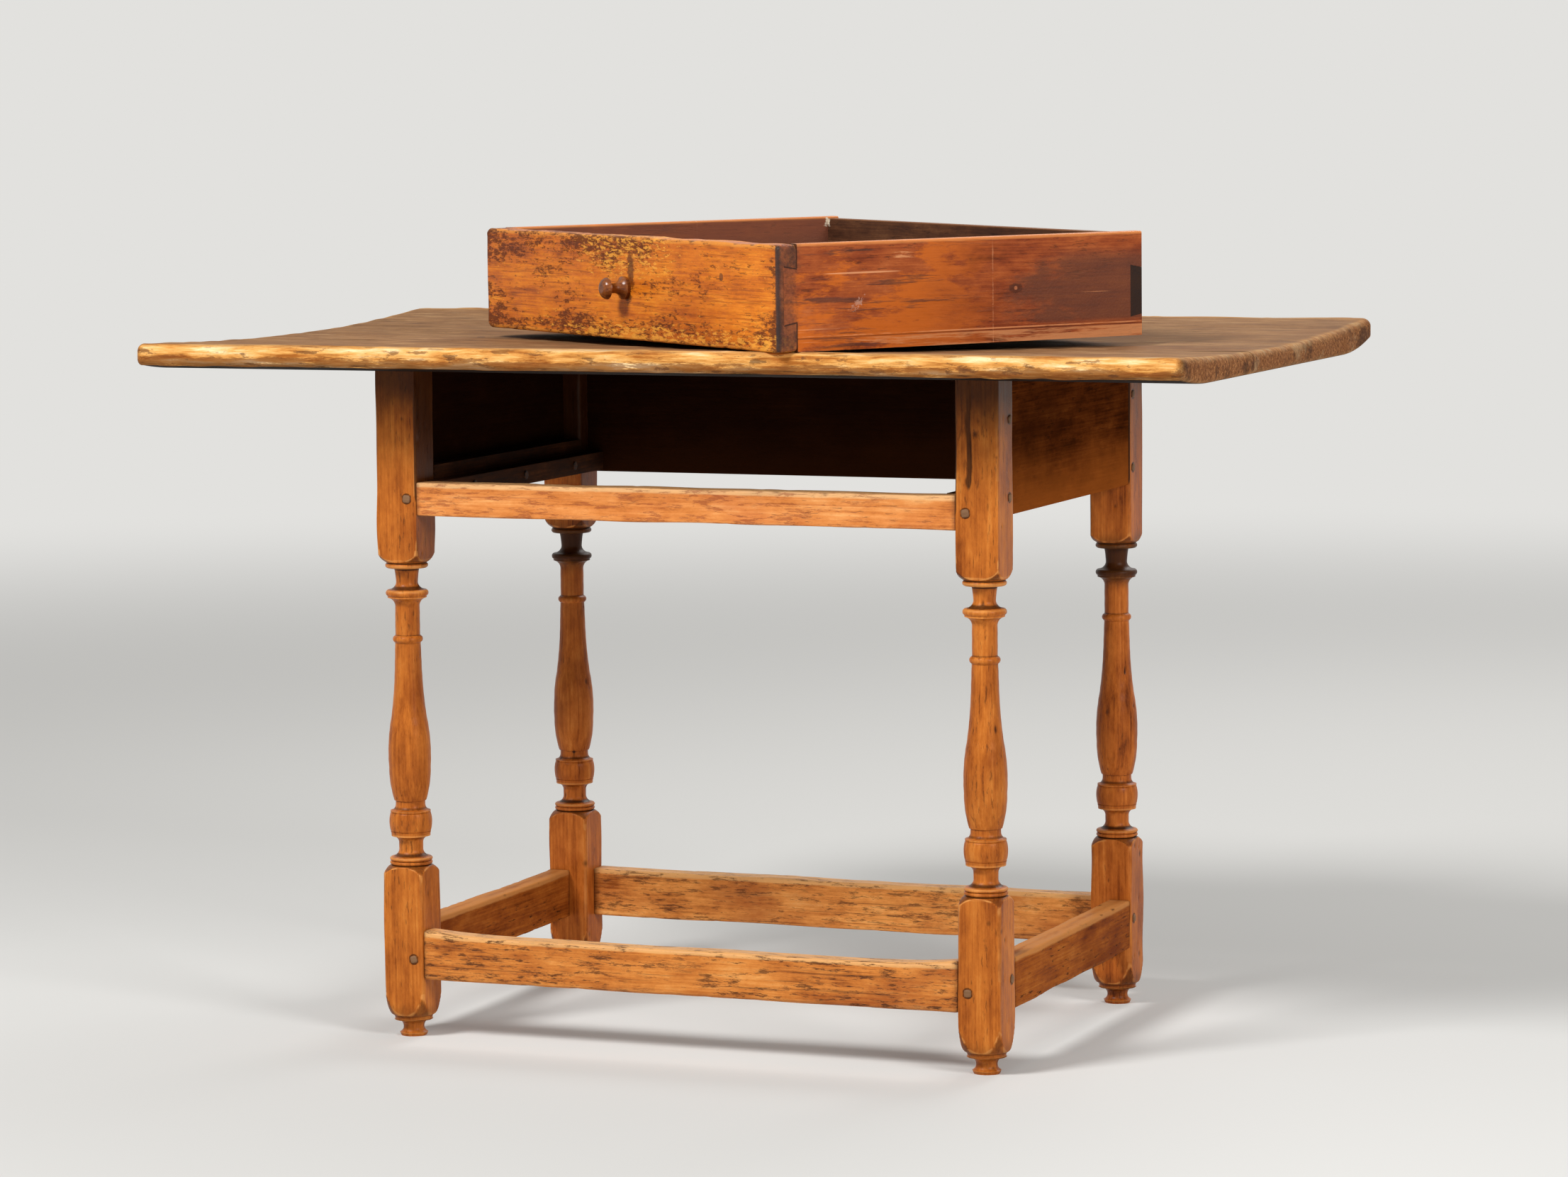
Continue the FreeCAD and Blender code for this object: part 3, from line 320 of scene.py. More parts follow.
def leg_outline(leg, low, high, middle, stock):
    """The heights of the leg's loops, with one on either side of each step, the lathe's radius there,
    and the foot of the lower block, which is rounded by a power of its rise."""
    levels, lathe = lathe_profile(leg, middle, stock)
    stepped = np.flatnonzero((np.abs(np.diff(lathe)) > LEAST_STEP) & (np.diff(levels) < 2 * STEP_RISE))
    rows = np.unique(np.concatenate([levels[stepped], levels[stepped + 1], np.arange(low, high, LEG_ROW),
                                     CRISP_STEPS, CRISP_STEPS + STEP_RISE]))
    rows = np.append(rows[(rows >= low) & (rows < high)], high)
    cut = crisp_turning(rows, np.interp(rows, levels, lathe))
    block_foot = rows[np.argmax(cut > stock)]
    rise = np.clip((rows - block_foot) / FOOT_ROUND, 0, 1)
    rounded = np.minimum(cut, stock * (0.98 + 0.4 * rise ** 0.6))
    return rows, np.where((rows >= block_foot) & (rise < 1), rounded, cut), block_foot


def stick_square(seed, stock, angle, level):
    """How far out the stick's square lies in each direction, and where that is on one of its corners,
    which are arcs whose radius sways along the leg."""
    across, along = np.abs(np.cos(angle)), np.abs(np.sin(angle))
    ease = LEG_EASE + EASE_SWAY * ripple(seed, 0 * angle, level, SWAY_LENGTH)
    inner = stock - ease
    lean = inner * (across + along)
    corner = lean + np.sqrt(np.maximum(lean ** 2 - 2 * inner ** 2 + ease ** 2, 0))
    side = stock / np.maximum(across, along)
    on_corner = side * np.minimum(across, along) > inner
    return np.where(on_corner, corner, side), on_corner


def peg_heights(pegs):
    """The heights of a group's lowest and highest pegs, read from the frame."""
    low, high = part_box(pegs)
    return low[2] + PEG_RADIUS, high[2] - PEG_RADIUS


peg_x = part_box("drawer_rail_pegs")[1][0] - PEG_RADIUS
peg_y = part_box("side_apron_pegs")[1][1] - PEG_RADIUS
rail_peg_z = peg_heights("drawer_rail_pegs")[:1]
apron_peg_z = peg_heights("side_apron_pegs")
stretcher_peg_z = peg_heights("stretcher_pegs")
FACE_PEGS = {"front": (*rail_peg_z, stretcher_peg_z[0]), "back": (*apron_peg_z, stretcher_peg_z[0])}
SIDE_PEGS = (*apron_peg_z, stretcher_peg_z[1])


def make_leg(name, seed, material):
    """At each height the radius is the smaller of the stick's and the lathe's, less dents, a faint
    lathe chatter and, on one leg, a split. Dirt lies in hollows, where the outline runs inside its
    own running mean, and round the pegs; painted shade darkens the leg under the top and towards the
    bay, and, with dirt, on the shoulders of the blocks. Crests and arrises are rubbed pale, and round
    the arches of the blocks wear and a painted highlight draw a pale line."""
    low, high = (np.array(corner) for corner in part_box(name))
    middle = (low + high) / 2
    stock = (high[0] - low[0]) / 2
    end = name.split("_")[0]
    rows, cut, block_foot = leg_outline(nodes[name], low[2], high[2], middle, stock)
    level, lathe = rows[:, None], cut[:, None]
    flat = np.linspace(-1, 1, LEG_COLUMNS)[:-1]
    walk = np.sign(flat) * np.abs(flat) ** 0.8 * math.pi / 4
    angle = np.concatenate([walk + quarter * math.pi / 2 for quarter in range(4)])[None]
    square, on_corner = stick_square(seed, stock, angle, level)

    bruise = np.zeros(square.shape)
    for place, height, depth, size in np.random.default_rng(seed).random((4, LEG_DENTS)).T:
        gap = np.angle(np.exp(1j * (angle - 2 * math.pi * place))) * stock
        rise = level - low[2] - height * (high[2] - low[2])
        reach = (1.2 + 2.2 * size) * mm
        bruise += depth * LEG_DENT_DEPTH * np.exp(-(gap ** 2 + (0.6 * rise) ** 2) / reach ** 2)
    if name == SPLIT_LEG:
        line = SPLIT_TURN + 0.03 * np.sin(90 * level)
        gap = np.angle(np.exp(1j * (angle - line))) * stock
        opened = np.clip((level - SPLIT_FOOT) / SPLIT_FADE, 0, 1)
        bruise += SPLIT_DEPTH * opened * np.exp(-(gap / SPLIT_WIDTH) ** 2)
    bruise *= (level > low[2] + mm) & (level < high[2] - mm)
    chatter = CHATTER_DEPTH * np.sin(level / CHATTER_PACE) * (lathe < stock)
    radius = np.minimum(square, lathe) - bruise - chatter
    x, y = middle[0] + radius * np.cos(angle), middle[1] + radius * np.sin(angle)
    grid = np.stack([x, y, level + 0 * radius], axis=-1)

    fullest = 1.12 * stock
    heights = np.arange(low[2], high[2], HOLLOW_STEP)
    outline = np.pad(np.minimum(np.interp(heights, rows, cut), fullest), HOLLOW_SAMPLES, mode="edge")
    mean = np.convolve(outline, np.ones(HOLLOW_SAMPLES) / HOLLOW_SAMPLES, "same")
    mean = np.interp(rows, heights, mean[HOLLOW_SAMPLES:-HOLLOW_SAMPLES])
    hollow = np.clip((mean - np.minimum(cut, fullest)) / HOLLOW_DEPTH, -1, 1)[:, None]
    on_block = lathe > 1.01 * stock
    # A pale line round each block's arch, partly wear and partly a painted highlight; the shoulders'
    # darkening stops there.
    arch_wear_and_highlight = np.exp(-((lathe - square) / ARCH_LINE) ** 2) * on_block
    arch_wear_and_highlight *= np.clip(0.6 + 0.5 * ripple(seed + 50, stock * angle, level, ARCH_BREAKS), 0, 1)
    grime = np.clip(np.maximum(hollow, 0) + bruise / (0.9 * mm), 0, 1)
    # Painted shade of the top: the upper block darkens towards its head.
    grime = np.maximum(grime, np.clip((level - high[2] + SHADED) / SHADED, 0, 1))
    if end == "back":
        grime = np.maximum(grime, np.exp(-((level - SOOT_MIDDLE) / SOOT_REACH) ** 2))
    # The sloped shoulders of the blocks are darker, partly dirt and partly painted shade, except along
    # their arches.
    grime = np.maximum(grime, 0.62 * (lathe < square) * on_block) * (1 - arch_wear_and_highlight)
    mud = np.exp(-((level - low[2] - MUD_MIDDLE) / MUD_REACH) ** 2)
    # Mud near the foot and the dark foot of the block are dirt. The rest is painted shade: faces towards
    # the bay go dark from a little below the apron pegs upwards, and bay-side faces half dark above the
    # cove.
    bay_shade = np.clip((level - apron_peg_z[0] + BAY_DROP) / BAY_FADE, 0, 1)
    outward = np.sign(middle) * (grid - middle) / stock
    bay_side, bay_end = outward[..., 0] < -0.9, outward[..., 1] < -0.9
    for layer in (0.5 * mud, 0.4 * (level < block_foot), 1.2 * bay_shade * (bay_side | bay_end),
                  0.5 * (level > COVE_HEAD) * bay_side):
        grime = np.maximum(grime, layer)
    for across, out, pegs in ((np.abs(x) - peg_x, outward[..., 1], FACE_PEGS[end]),
                              (np.abs(y) - peg_y, outward[..., 0], SIDE_PEGS)):
        for height in pegs:
            gap = np.hypot(across, level - height) - PEG_RING
            grime = np.maximum(grime, 0.9 * (out > 0.9) * np.exp(-(gap / PEG_RING_WIDTH) ** 2))
    arris = on_corner * (lathe > square)
    worn = np.clip(0.6 * np.maximum(-hollow, 0) + 0.4 * arris + 0.75 * arch_wear_and_highlight, 0, 1)
    attributes = {"grime": grime, "worn": worn}
    fit_piece(f"turned_{name}", grid, attributes, material, "table", name)


make_leg("front_left_leg", 11, front_maple)
make_leg("front_right_leg", 12, front_maple)
make_leg("back_left_leg", 13, back_maple)
make_leg("back_right_leg", 14, back_maple)


# Box stretcher and drawer rail: planed maple boards, tenoned into the blocks of the legs.
# Feet have rubbed the front stretcher hollow and pale along its upper edge, and a painted highlight runs
# along the crest of every bar.

BAR_STEP = 4 * mm
BAR_DENTS, BAR_DENT_DEPTH = 60, 0.55 * mm
BAR_SWELL, BAR_SWELL_LENGTH = 0.25 * mm, 120 * mm
BURIED = 0.6 * mm
JOINT_DIRT_AND_SHADE = 6 * mm
leg_edge_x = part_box("front_right_leg")[0][0]
leg_edge_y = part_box("back_right_leg")[0][1]


def section_loop(half_width, half_height, ease, step):
    """A rounded rectangle walked once round, with each point's outward direction and how far it
    lies from the nearest rounded edge. Flats have even steps and edges six points each."""
    arc = np.radians(np.linspace(0, 90, 6))
    bent = np.stack([np.cos(arc), np.sin(arc)], axis=1)
    points, outward, from_edge = [], [], []
    for quarter in range(4):
        turn = quarter * math.pi / 2
        spin = np.array([[math.cos(turn), math.sin(turn)], [-math.sin(turn), math.cos(turn)]])
        across, along = (half_width, half_height)[::-1 if quarter % 2 else 1]
        count = max(int(2 * (across - ease) / step), 3)
        flat = np.linspace(across - ease, ease - across, count + 1)[1:-1]
        straight = np.stack([flat, np.full(len(flat), along)], axis=1)
        points.append(np.concatenate([(across - ease, along - ease) + ease * bent, straight]) @ spin)
        outward.append(np.concatenate([bent, np.tile([0.0, 1.0], (len(flat), 1))]) @ spin)
        from_edge.append(np.concatenate([np.zeros(len(arc)), (across - ease) - np.abs(flat)]))
    return np.concatenate(points), np.concatenate(outward), np.concatenate(from_edge)


def worn_board(length, width, height, ease, seed):
    """A board along its first axis: the rounded section carried along the length and drawn in at
    both ends by the same rounding, then dented, mostly on its edges, and slightly waved."""
    section, outward, from_edge = section_loop(width / 2, height / 2, ease, BAR_STEP)
    bow = np.radians(np.linspace(0, 90, 5))
    ends, inset = ease * (1 - np.cos(bow)), ease * (1 - np.sin(bow))
    run = np.linspace(ease, length - ease, max(int(length / BAR_STEP), 4))[1:-1]
    rows = np.concatenate([ends, run, length - ends[::-1]])[:, None] - length / 2
    drawn_in = np.concatenate([inset, np.zeros(len(run)), inset[::-1]])[:, None]
    walk = np.concatenate([[0], np.cumsum(np.linalg.norm(np.diff(section, axis=0), axis=1))])
    loop = walk[-1] + np.linalg.norm(section[0] - section[-1])
    draw = np.random.default_rng(seed)
    edges = np.flatnonzero(from_edge == 0)
    bruise = np.zeros((len(rows), len(section)))
    for number in range(BAR_DENTS):
        column = draw.choice(edges) if number % 3 else draw.integers(len(section))
        place = draw.uniform(-length / 2, length / 2)
        reach = draw.uniform(1.0, 3.0) * mm
        depth = draw.uniform(0.2, 1) * BAR_DENT_DEPTH
        gap = np.abs(walk - walk[column])
        gap = np.minimum(gap, loop - gap)
        bruise += depth * np.exp(-(gap ** 2 + (0.5 * (rows - place)) ** 2) / reach ** 2)
    swell = BAR_SWELL * ripple(seed + 1, walk, rows, BAR_SWELL_LENGTH)
    move = (swell - bruise - drawn_in)[..., None] * outward
    grid = np.concatenate([(rows + 0 * bruise)[..., None], section + move], axis=-1)
    worn = 0.8 * np.exp(-from_edge / (3 * mm))
    return grid, worn, np.clip(bruise / (0.9 * mm), 0, 1)


def scuffed(share, tone):
    """Short ragged scuffs along the grain, crowded in drifts, and a few fine long scratches."""
    def finish(tree, place, colour, rough, height):
        drift = patches(place, 0.35, 12, 6, 0.65, 0.28, 0.46)
        scuff = both(patches(place, 0.16, 230, 8, 0.8, 0.535, 0.585), drift)
        scratch = patches(place, 0.01, 300, 3, 0.6, 0.61, 0.66)
        colour = lay(colour, (scuff, share, tone), (scratch, 0.6 * share, tone))
        return colour, rough, weigh((height, 1.0), (scuff, -0.5), (scratch, -0.3))
    return finish


ALONG_X = (0, 0, 0)
ALONG_Y = (0, 0, -math.pi / 2)
STRETCHER_TONES = ((126, 62, 20), (190, 110, 44), (214, 134, 60), (232, 164, 90))
# The back stretcher's tones are made paler than the front's as painted light.
BACK_LIT_TONES = ((140, 74, 28), (204, 124, 56), (228, 149, 73), (243, 178, 104))
# The side stretchers' tones are made darker than the others as painted shade.
SIDE_SHADED_TONES = ((86, 37, 10), (134, 66, 21), (158, 85, 30), (184, 111, 48))
RAIL_TONES = ((150, 76, 32), (206, 122, 56), (224, 142, 74), (238, 174, 108))
RUBBED = (0.7, (230, 176, 112))
front_bar = old_wood("stretcher_maple", ALONG_X, (0.4, 0.2, 0.7), STRETCHER_TONES, (0.6, (142, 62, 22)),
                     RUBBED, (0.8, GRIME_AND_SHADE), finish=scuffed(0.8, (66, 32, 14)))
back_bar = old_wood("back_stretcher_maple", ALONG_X, (0.7, 0.5, 0.1), BACK_LIT_TONES, (0.6, (152, 72, 28)),
                    RUBBED, (0.8, GRIME_AND_SHADE), finish=scuffed(0.7, (78, 38, 17)))
side_bar = old_wood("side_stretcher_maple", ALONG_Y, (0.9, 0.1, 0.4), SIDE_SHADED_TONES, (0.6, (96, 36, 12)),
                    (0.65, (206, 140, 78)), (0.8, GRIME_AND_SHADE), flecks=0.8, sheen=0.01)
rail_maple = old_wood("rail_maple", ALONG_X, (0.8, 0.6, 0.15), RAIL_TONES, (0.5, (186, 88, 52)),
                      (0.6, (244, 200, 142)), (0.8, (84, 42, 24)), finish=scuffed(0.6, (150, 72, 40)))


def make_bar(name, seed, material, ease, wear):
    """A board between two legs, with wear, dirty at its joints and darkened there by painted contact
    shade. Wear takes its upper edge down by a power of the height, evenly along the middle and fading
    to nothing at the ends; its crest is pale, partly rubbed and partly a painted highlight."""
    low, high = (np.array(corner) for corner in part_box(name))
    along_y = name.startswith(("left", "right"))
    span = 2 * ((leg_edge_y if along_y else leg_edge_x) + BURIED)
    thick, tall = (high - low)[0 if along_y else 1], (high - low)[2]
    grid, worn, grime = worn_board(span, thick, tall, ease, seed)
    share = np.clip((grid[..., 2] / tall + 0.2) / 0.7, 0, 1)
    grid[..., 2] -= wear * np.clip(1 - (2 * grid[..., 0] / span) ** 8, 0, 1) * share ** 3
    upper = np.where(grid[..., 2] > 0, 1, 0.4)
    # Dirt and painted contact shade darken the ends, where the bar meets the legs.
    joint = np.exp((np.abs(grid[..., 0]) - span / 2) / JOINT_DIRT_AND_SHADE)
    # The crest is paler, partly from rubbing and partly as a painted highlight.
    attributes = {"worn": np.clip(worn * upper + 0.5 * share ** 12, 0, 1),
                  "grime": np.maximum(grime, 0.8 * joint)}
    if along_y:
        grid = np.stack([-grid[..., 1], grid[..., 0], grid[..., 2]], axis=-1)
    grid = grid + (low + high) / 2
    fit_piece(f"worn_{name}", grid, attributes, material, "table", name)


make_bar("front_stretcher", 21, front_bar, 4 * mm, 5.2 * mm)
make_bar("back_stretcher", 22, back_bar, 2 * mm, 0.8 * mm)
make_bar("left_stretcher", 23, side_bar, 2 * mm, 0.8 * mm)
make_bar("right_stretcher", 24, side_bar, 2 * mm, 0.8 * mm)
make_bar("drawer_rail", 25, rail_maple, 1.8 * mm, 0.5 * mm)


# Aprons: maple boards under the top, tenoned into the upper blocks of the legs.
# Outside they are dark red-brown, darkened in part by painted shade, with painted light orange low down;
# inside, where the drawer runs, painted shade makes them nearly black.

# Dark tones: the red-brown wood, darkened further as painted shade from the top's overhang.
APRON_SHADED_TONES = ((54, 23, 8), (86, 39, 13), (110, 53, 19), (142, 76, 30))
LIT_RISE = 70 * mm
apron_inside_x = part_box("right_apron")[0][0]
apron_inside_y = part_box("back_apron")[0][1]
apron_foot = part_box("right_apron")[0][2]


def off(value, level):
    """How far a value lies from a level, on either side."""
    return maths("ABSOLUTE", maths("SUBTRACT", value, level))


def apron_light_and_shade(inner_face, axis):
    """Painted shade, nearly black, up to a little way in from the inner face, and painted light, orange,
    rising towards the foot.
    """
    def finish(tree, place, colour, rough, height):
        spot = object_place(tree)
        parts = node("ShaderNodeSeparateXYZ", {0: spot}).outputs
        below = maths("SUBTRACT", apron_foot, parts[2])
        # Painted light: orange rising towards the foot of the apron.
        paler = between(weigh((below, 1 / LIT_RISE), (grain(spot, 1, 14, 6, 0.65), 1.2)), -0.4, 0.5)
        # Painted shade: nearly black on the inner face, in the bay.
        inner = between(off(parts[axis], 0), inner_face + 5 * mm, inner_face + 1 * mm)
        return lay(colour, (paler, 0.6, (160, 84, 30)), (inner, 0.93, (24, 12, 7))), rough, height
    return finish


def finish_nodes(material, *names):
    """Gives the frame's own pieces their finish."""
    for name in names:
        nodes[name].data.materials.clear()
        nodes[name].data.materials.append(material)


apron_x = old_wood("back_apron_maple", ALONG_X, (0.2, 0.9, 0.3), APRON_SHADED_TONES, (0.5, (56, 24, 10)),
                   (0.4, (150, 92, 48)), (0.8, GRIME_AND_SHADE), sheen=0.0, finish=apron_light_and_shade(apron_inside_y, 1))
apron_y = old_wood("side_apron_maple", ALONG_Y, (0.5, 0.3, 0.8), APRON_SHADED_TONES, (0.5, (60, 26, 10)),
                   (0.4, (160, 96, 48)), (0.8, GRIME_AND_SHADE), sheen=0.0, finish=apron_light_and_shade(apron_inside_x, 0))
finish_nodes(apron_x, "back_apron")
finish_nodes(apron_y, "left_apron", "right_apron")


# Runners and guides: rough pine strips inside the side aprons, painted nearly black as the shade of the
# bay. The drawer rides on the runners, which are nailed on level with the rail, and the guides keep it
# straight.

BAY_SHADE_TONES = ((26, 13, 7), (46, 24, 12), (66, 36, 19), (96, 56, 31))
bay_pine = old_wood("bay_pine", ALONG_Y, (0.3, 0.3, 0.3), BAY_SHADE_TONES, (0.6, (18, 9, 5)),
                    (0.3, (120, 80, 48)), (0.8, GRIME_AND_SHADE), gloss=(0.6, 0.85), sheen=0.05)
finish_nodes(bay_pine, "left_runner", "right_runner", "left_guide", "right_guide")


# Pegs: riven hardwood, square-cornered, driven through the joints from outside. Their heads
# stand a little proud, worn round, with dry brown end grain.

PEG_TONES = ((54, 33, 21), (88, 58, 38), (110, 76, 52), (140, 104, 74))
PEG_PROUD, PEG_BITE = 1.3 * mm, 2 * mm
PEG_LIFT = np.array([-PEG_BITE, 0, 0.45 * PEG_PROUD, 0.8 * PEG_PROUD, 0.95 * PEG_PROUD, PEG_PROUD])
PEG_SHARE = np.array([1, 1, 0.97, 0.84, 0.55, 0.15])
LEFT_RIGHT = (-1, 1)
front_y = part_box("front_left_leg")[0][1]
back_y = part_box("back_left_leg")[1][1]
right_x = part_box("front_right_leg")[1][0]
peg_wood = old_wood("peg_end_grain", ALONG_X, (0.1, 0.5, 0.9), PEG_TONES, (0.5, (48, 28, 18)),
                    (0.5, (152, 114, 80)), (0.8, GRIME_AND_SHADE), gloss=(0.45, 0.65))


def make_peg_heads(group, places, outward, seed, replaced):
    """Each head is a stack of loops: a rounded square, as a power mean of its sides, that leaves the
    leg, turns in over a worn arris and ends in a small flat. Each one is turned a little its own way."""
    turn = np.linspace(0, 2 * math.pi, 25)[:-1]
    loop = (np.abs(np.cos(turn)) ** 4 + np.abs(np.sin(turn)) ** 4) ** -0.25
    draw = np.random.default_rng(seed)
    twist, size = draw.uniform(-0.35, 0.35, len(places)), draw.uniform(3.5, 4.1, len(places)) * mm
    radius = size[:, None, None] * PEG_SHARE[:, None] * loop
    angle = (turn + twist[:, None])[:, None, :]
    out, upright = np.array(outward, float), np.array([0.0, 0.0, 1.0])
    across, along = (radius * np.cos(angle))[..., None], (radius * np.sin(angle))[..., None]
    heads = (np.array(places)[:, None, None] + across * np.cross(upright, out) + along * upright
             + PEG_LIFT[:, None, None] * out)
    attributes = {"worn": 0.6 * (PEG_SHARE < 1)[:, None]}
    fit_piece(f"{group}_peg_heads", heads, attributes, peg_wood, "table", replaced, sharp=180)


def along_front(y, heights):
    """Peg places on the two legs of the front or the back."""
    return [(side * peg_x, y, height) for side in LEFT_RIGHT for height in heights]


def along_side(side, heights):
    """Peg places on the two legs of one side."""
    return [(side * right_x, end * peg_y, height) for end in LEFT_RIGHT for height in heights]


SIDES = (("left", -1), ("right", 1))
make_peg_heads("rail", along_front(front_y, rail_peg_z), (0, -1, 0), 61, "drawer_rail_pegs")
make_peg_heads("back_apron", along_front(back_y, apron_peg_z), (0, 1, 0), 62, "back_apron_pegs")
for word, side in SIDES:
    places = along_side(side, apron_peg_z)
    make_peg_heads(f"{word}_apron", places, (side, 0, 0), 63, "side_apron_pegs")
for word, face_y, out in (("front", front_y, -1), ("back", back_y, 1)):
    places = along_front(face_y, stretcher_peg_z[:1])
    make_peg_heads(f"{word}_stretcher", places, (0, out, 0), 64, "stretcher_pegs")
for word, side in SIDES:
    places = along_side(side, stretcher_peg_z[1:])
    make_peg_heads(f"{word}_stretcher", places, (side, 0, 0), 65, "stretcher_pegs")


# Top pins: round pins of the same hardwood as the pegs, with the same brown end grain.
# They are driven down through the top into the aprons and planed flush.

finish_nodes(peg_wood, "top_pins")


# Nails: hand-forged wrought iron, rusted brown. They are driven through the runners into
# the side aprons, and up through the drawer's bottom into its back.

iron, iron_tree = bare_material("rusted_iron")
rust = grain(object_place(iron_tree), 1, 400, 6, 0.7)
iron_colour = blend(between(rust, 0.4, 0.62), (44, 38, 34), (92, 52, 28))
iron_bump = node("ShaderNodeBump", {"Height": rust, "Strength": 0.5, "Distance": 0.4 * mm})
iron_coat = {"Base Color": iron_colour, "Normal": iron_bump.outputs[0]}
iron_shader = node("ShaderNodeBsdfPrincipled", iron_coat)
iron_shader.inputs["Roughness"].default_value = 0.7
iron_shader.inputs["Metallic"].default_value = 0.6
node("ShaderNodeOutputMaterial", {"Surface": iron_shader.outputs[0]})
finish_nodes(iron, "runner_nails", "drawer_bottom_nails")


# Top: two pine boards, edge to edge, cupped up at front and back, and pinned to the aprons.
# The upper side is weathered tan, the nose honey-gold and chipped; the underside is painted nearly black
# as shade.

TOP_THICK, TOP_ROUND_UP, TOP_ROUND_LOW = 20 * mm, 8 * mm, 6 * mm
CUP_FRONT, CUP_BACK = 8 * mm, 12.5 * mm
SEAT_MARGIN = 5 * mm
END_REACH, LEAST_ROUND = 20 * mm, 0.3 * mm
LEFT_CORNERS = {"front": 12 * mm, "back": 20 * mm}
RIGHT_CORNERS = {"front": 8.5 * mm, "back": 9.5 * mm}
TOP_ROW, TOP_COLUMN = 3.2 * mm, 3.4 * mm
SEAM_EASE, SEAM_DIRT = 1.2 * mm, 1.6 * mm
SEAM_STEPS = np.array([0, 0.3, 0.7, 1.2, 2.0]) * mm
TOP_CHIPS, DEEPEST_CHIP = 90, 2.5 * mm
TOP_SWELL, TOP_SWELL_LENGTH = 0.35 * mm, 50 * mm
NOSE_RAG, NOSE_RAG_LENGTH, NOSE_FADE = 0.35 * mm, 12 * mm, 48 * mm
END_CALM, END_GRAIN = 12 * mm, 7 * mm
UNDERSIDE, LOWER_NOSE, UPPER_NOSE, FACE = range(4)
TOP_TONES = ((92, 59, 37), (132, 95, 63), (154, 115, 79), (182, 144, 104))
GOLD_TONES = ((160, 94, 38), (208, 144, 72), (230, 174, 102), (246, 216, 166))
END_TONES = ((74, 42, 23), (113, 69, 38), (139, 89, 52), (180, 128, 80))

(_, seam_y, top_base), (top_half_length, top_half_depth, _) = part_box("top_board_rear")
seat_y = back_y + SEAT_MARGIN


def weathered_and_shaded(tree, place, colour, rough, height):
    """The top's own wear: brown lines, spills and pale dashes on the upper side, gold on the nose with
    a brown crust low down, soiled and greyed end grain and dark chips; and painted shade, nearly black,
    on the underside."""
    nose = attribute(tree, "nose")
    line = patches(place, 0.008, 170, 5, 0.65, 0.5, 0.62)
    spilt = patches(place, 0.6, 6, 6, 0.6, 0.56, 0.68)
    pale = patches(place, 0.05, 290, 4, 0.65, 0.6, 0.67)
    bleached = both(pale, patches(place, 0.4, 12, 5, 0.6, 0.42, 0.6))
    gold = ramp(grain(place, 0.1, 110, 6, 0.7), GOLD_TONES)
    edge = between(weigh((nose, 1.0), (grain(place, 0.3, 40, 6, 0.7), 0.6)), 0.45, 1.15)
    crust = grain(place, 0.12, 190, 8, 0.8)
    brown = between(weigh((attribute(tree, "low"), 0.17), (nose, 0.06), (crust, 0.8)), 0.52, 0.6)
    soiled = patches(place, 1, 26, 7, 0.7, 0.5, 0.62)
    greyed = between(grain(place, 1, 34, 7, 0.7, across=0.6), 0.54, 0.66)
    end_grain = lay(ramp(grain(place, 1, 210, 8, 0.75, across=1.6), END_TONES),
                    (soiled, 0.72, (60, 38, 26)), (greyed, 0.5, (168, 140, 104)))
    ragged = grain(place, 0.3, 210, 7, 0.8)
    chip = between(weigh((attribute(tree, "grime"), 0.6), (ragged, 2.4)), 1.4, 1.55)
    # The underside mark lays painted shade, nearly black.
    colour = lay(colour, (line, 0.4, (108, 74, 48)), (spilt, 0.35, (88, 58, 38)),
                 (bleached, 0.6, (218, 184, 138)), (edge, 1.0, gold), (brown, 0.75, (112, 60, 28)),
                 (attribute(tree, "end"), 1.0, end_grain), (both(chip, nose), 0.7, (92, 58, 38)),
                 (attribute(tree, "under"), 1.0, (26, 15, 9)))
    return colour, rough, weigh((height, 1.0), (crust, 0.6), (pale, 0.3))


def top_pine(name, start):
    return old_wood(name, ALONG_X, start, TOP_TONES, (0.5, (126, 86, 56)), (0.4, (196, 156, 102)),
                    (0.8, (58, 38, 24)), gloss=(0.55, 0.8), sheen=0.04, finish=weathered_and_shaded)


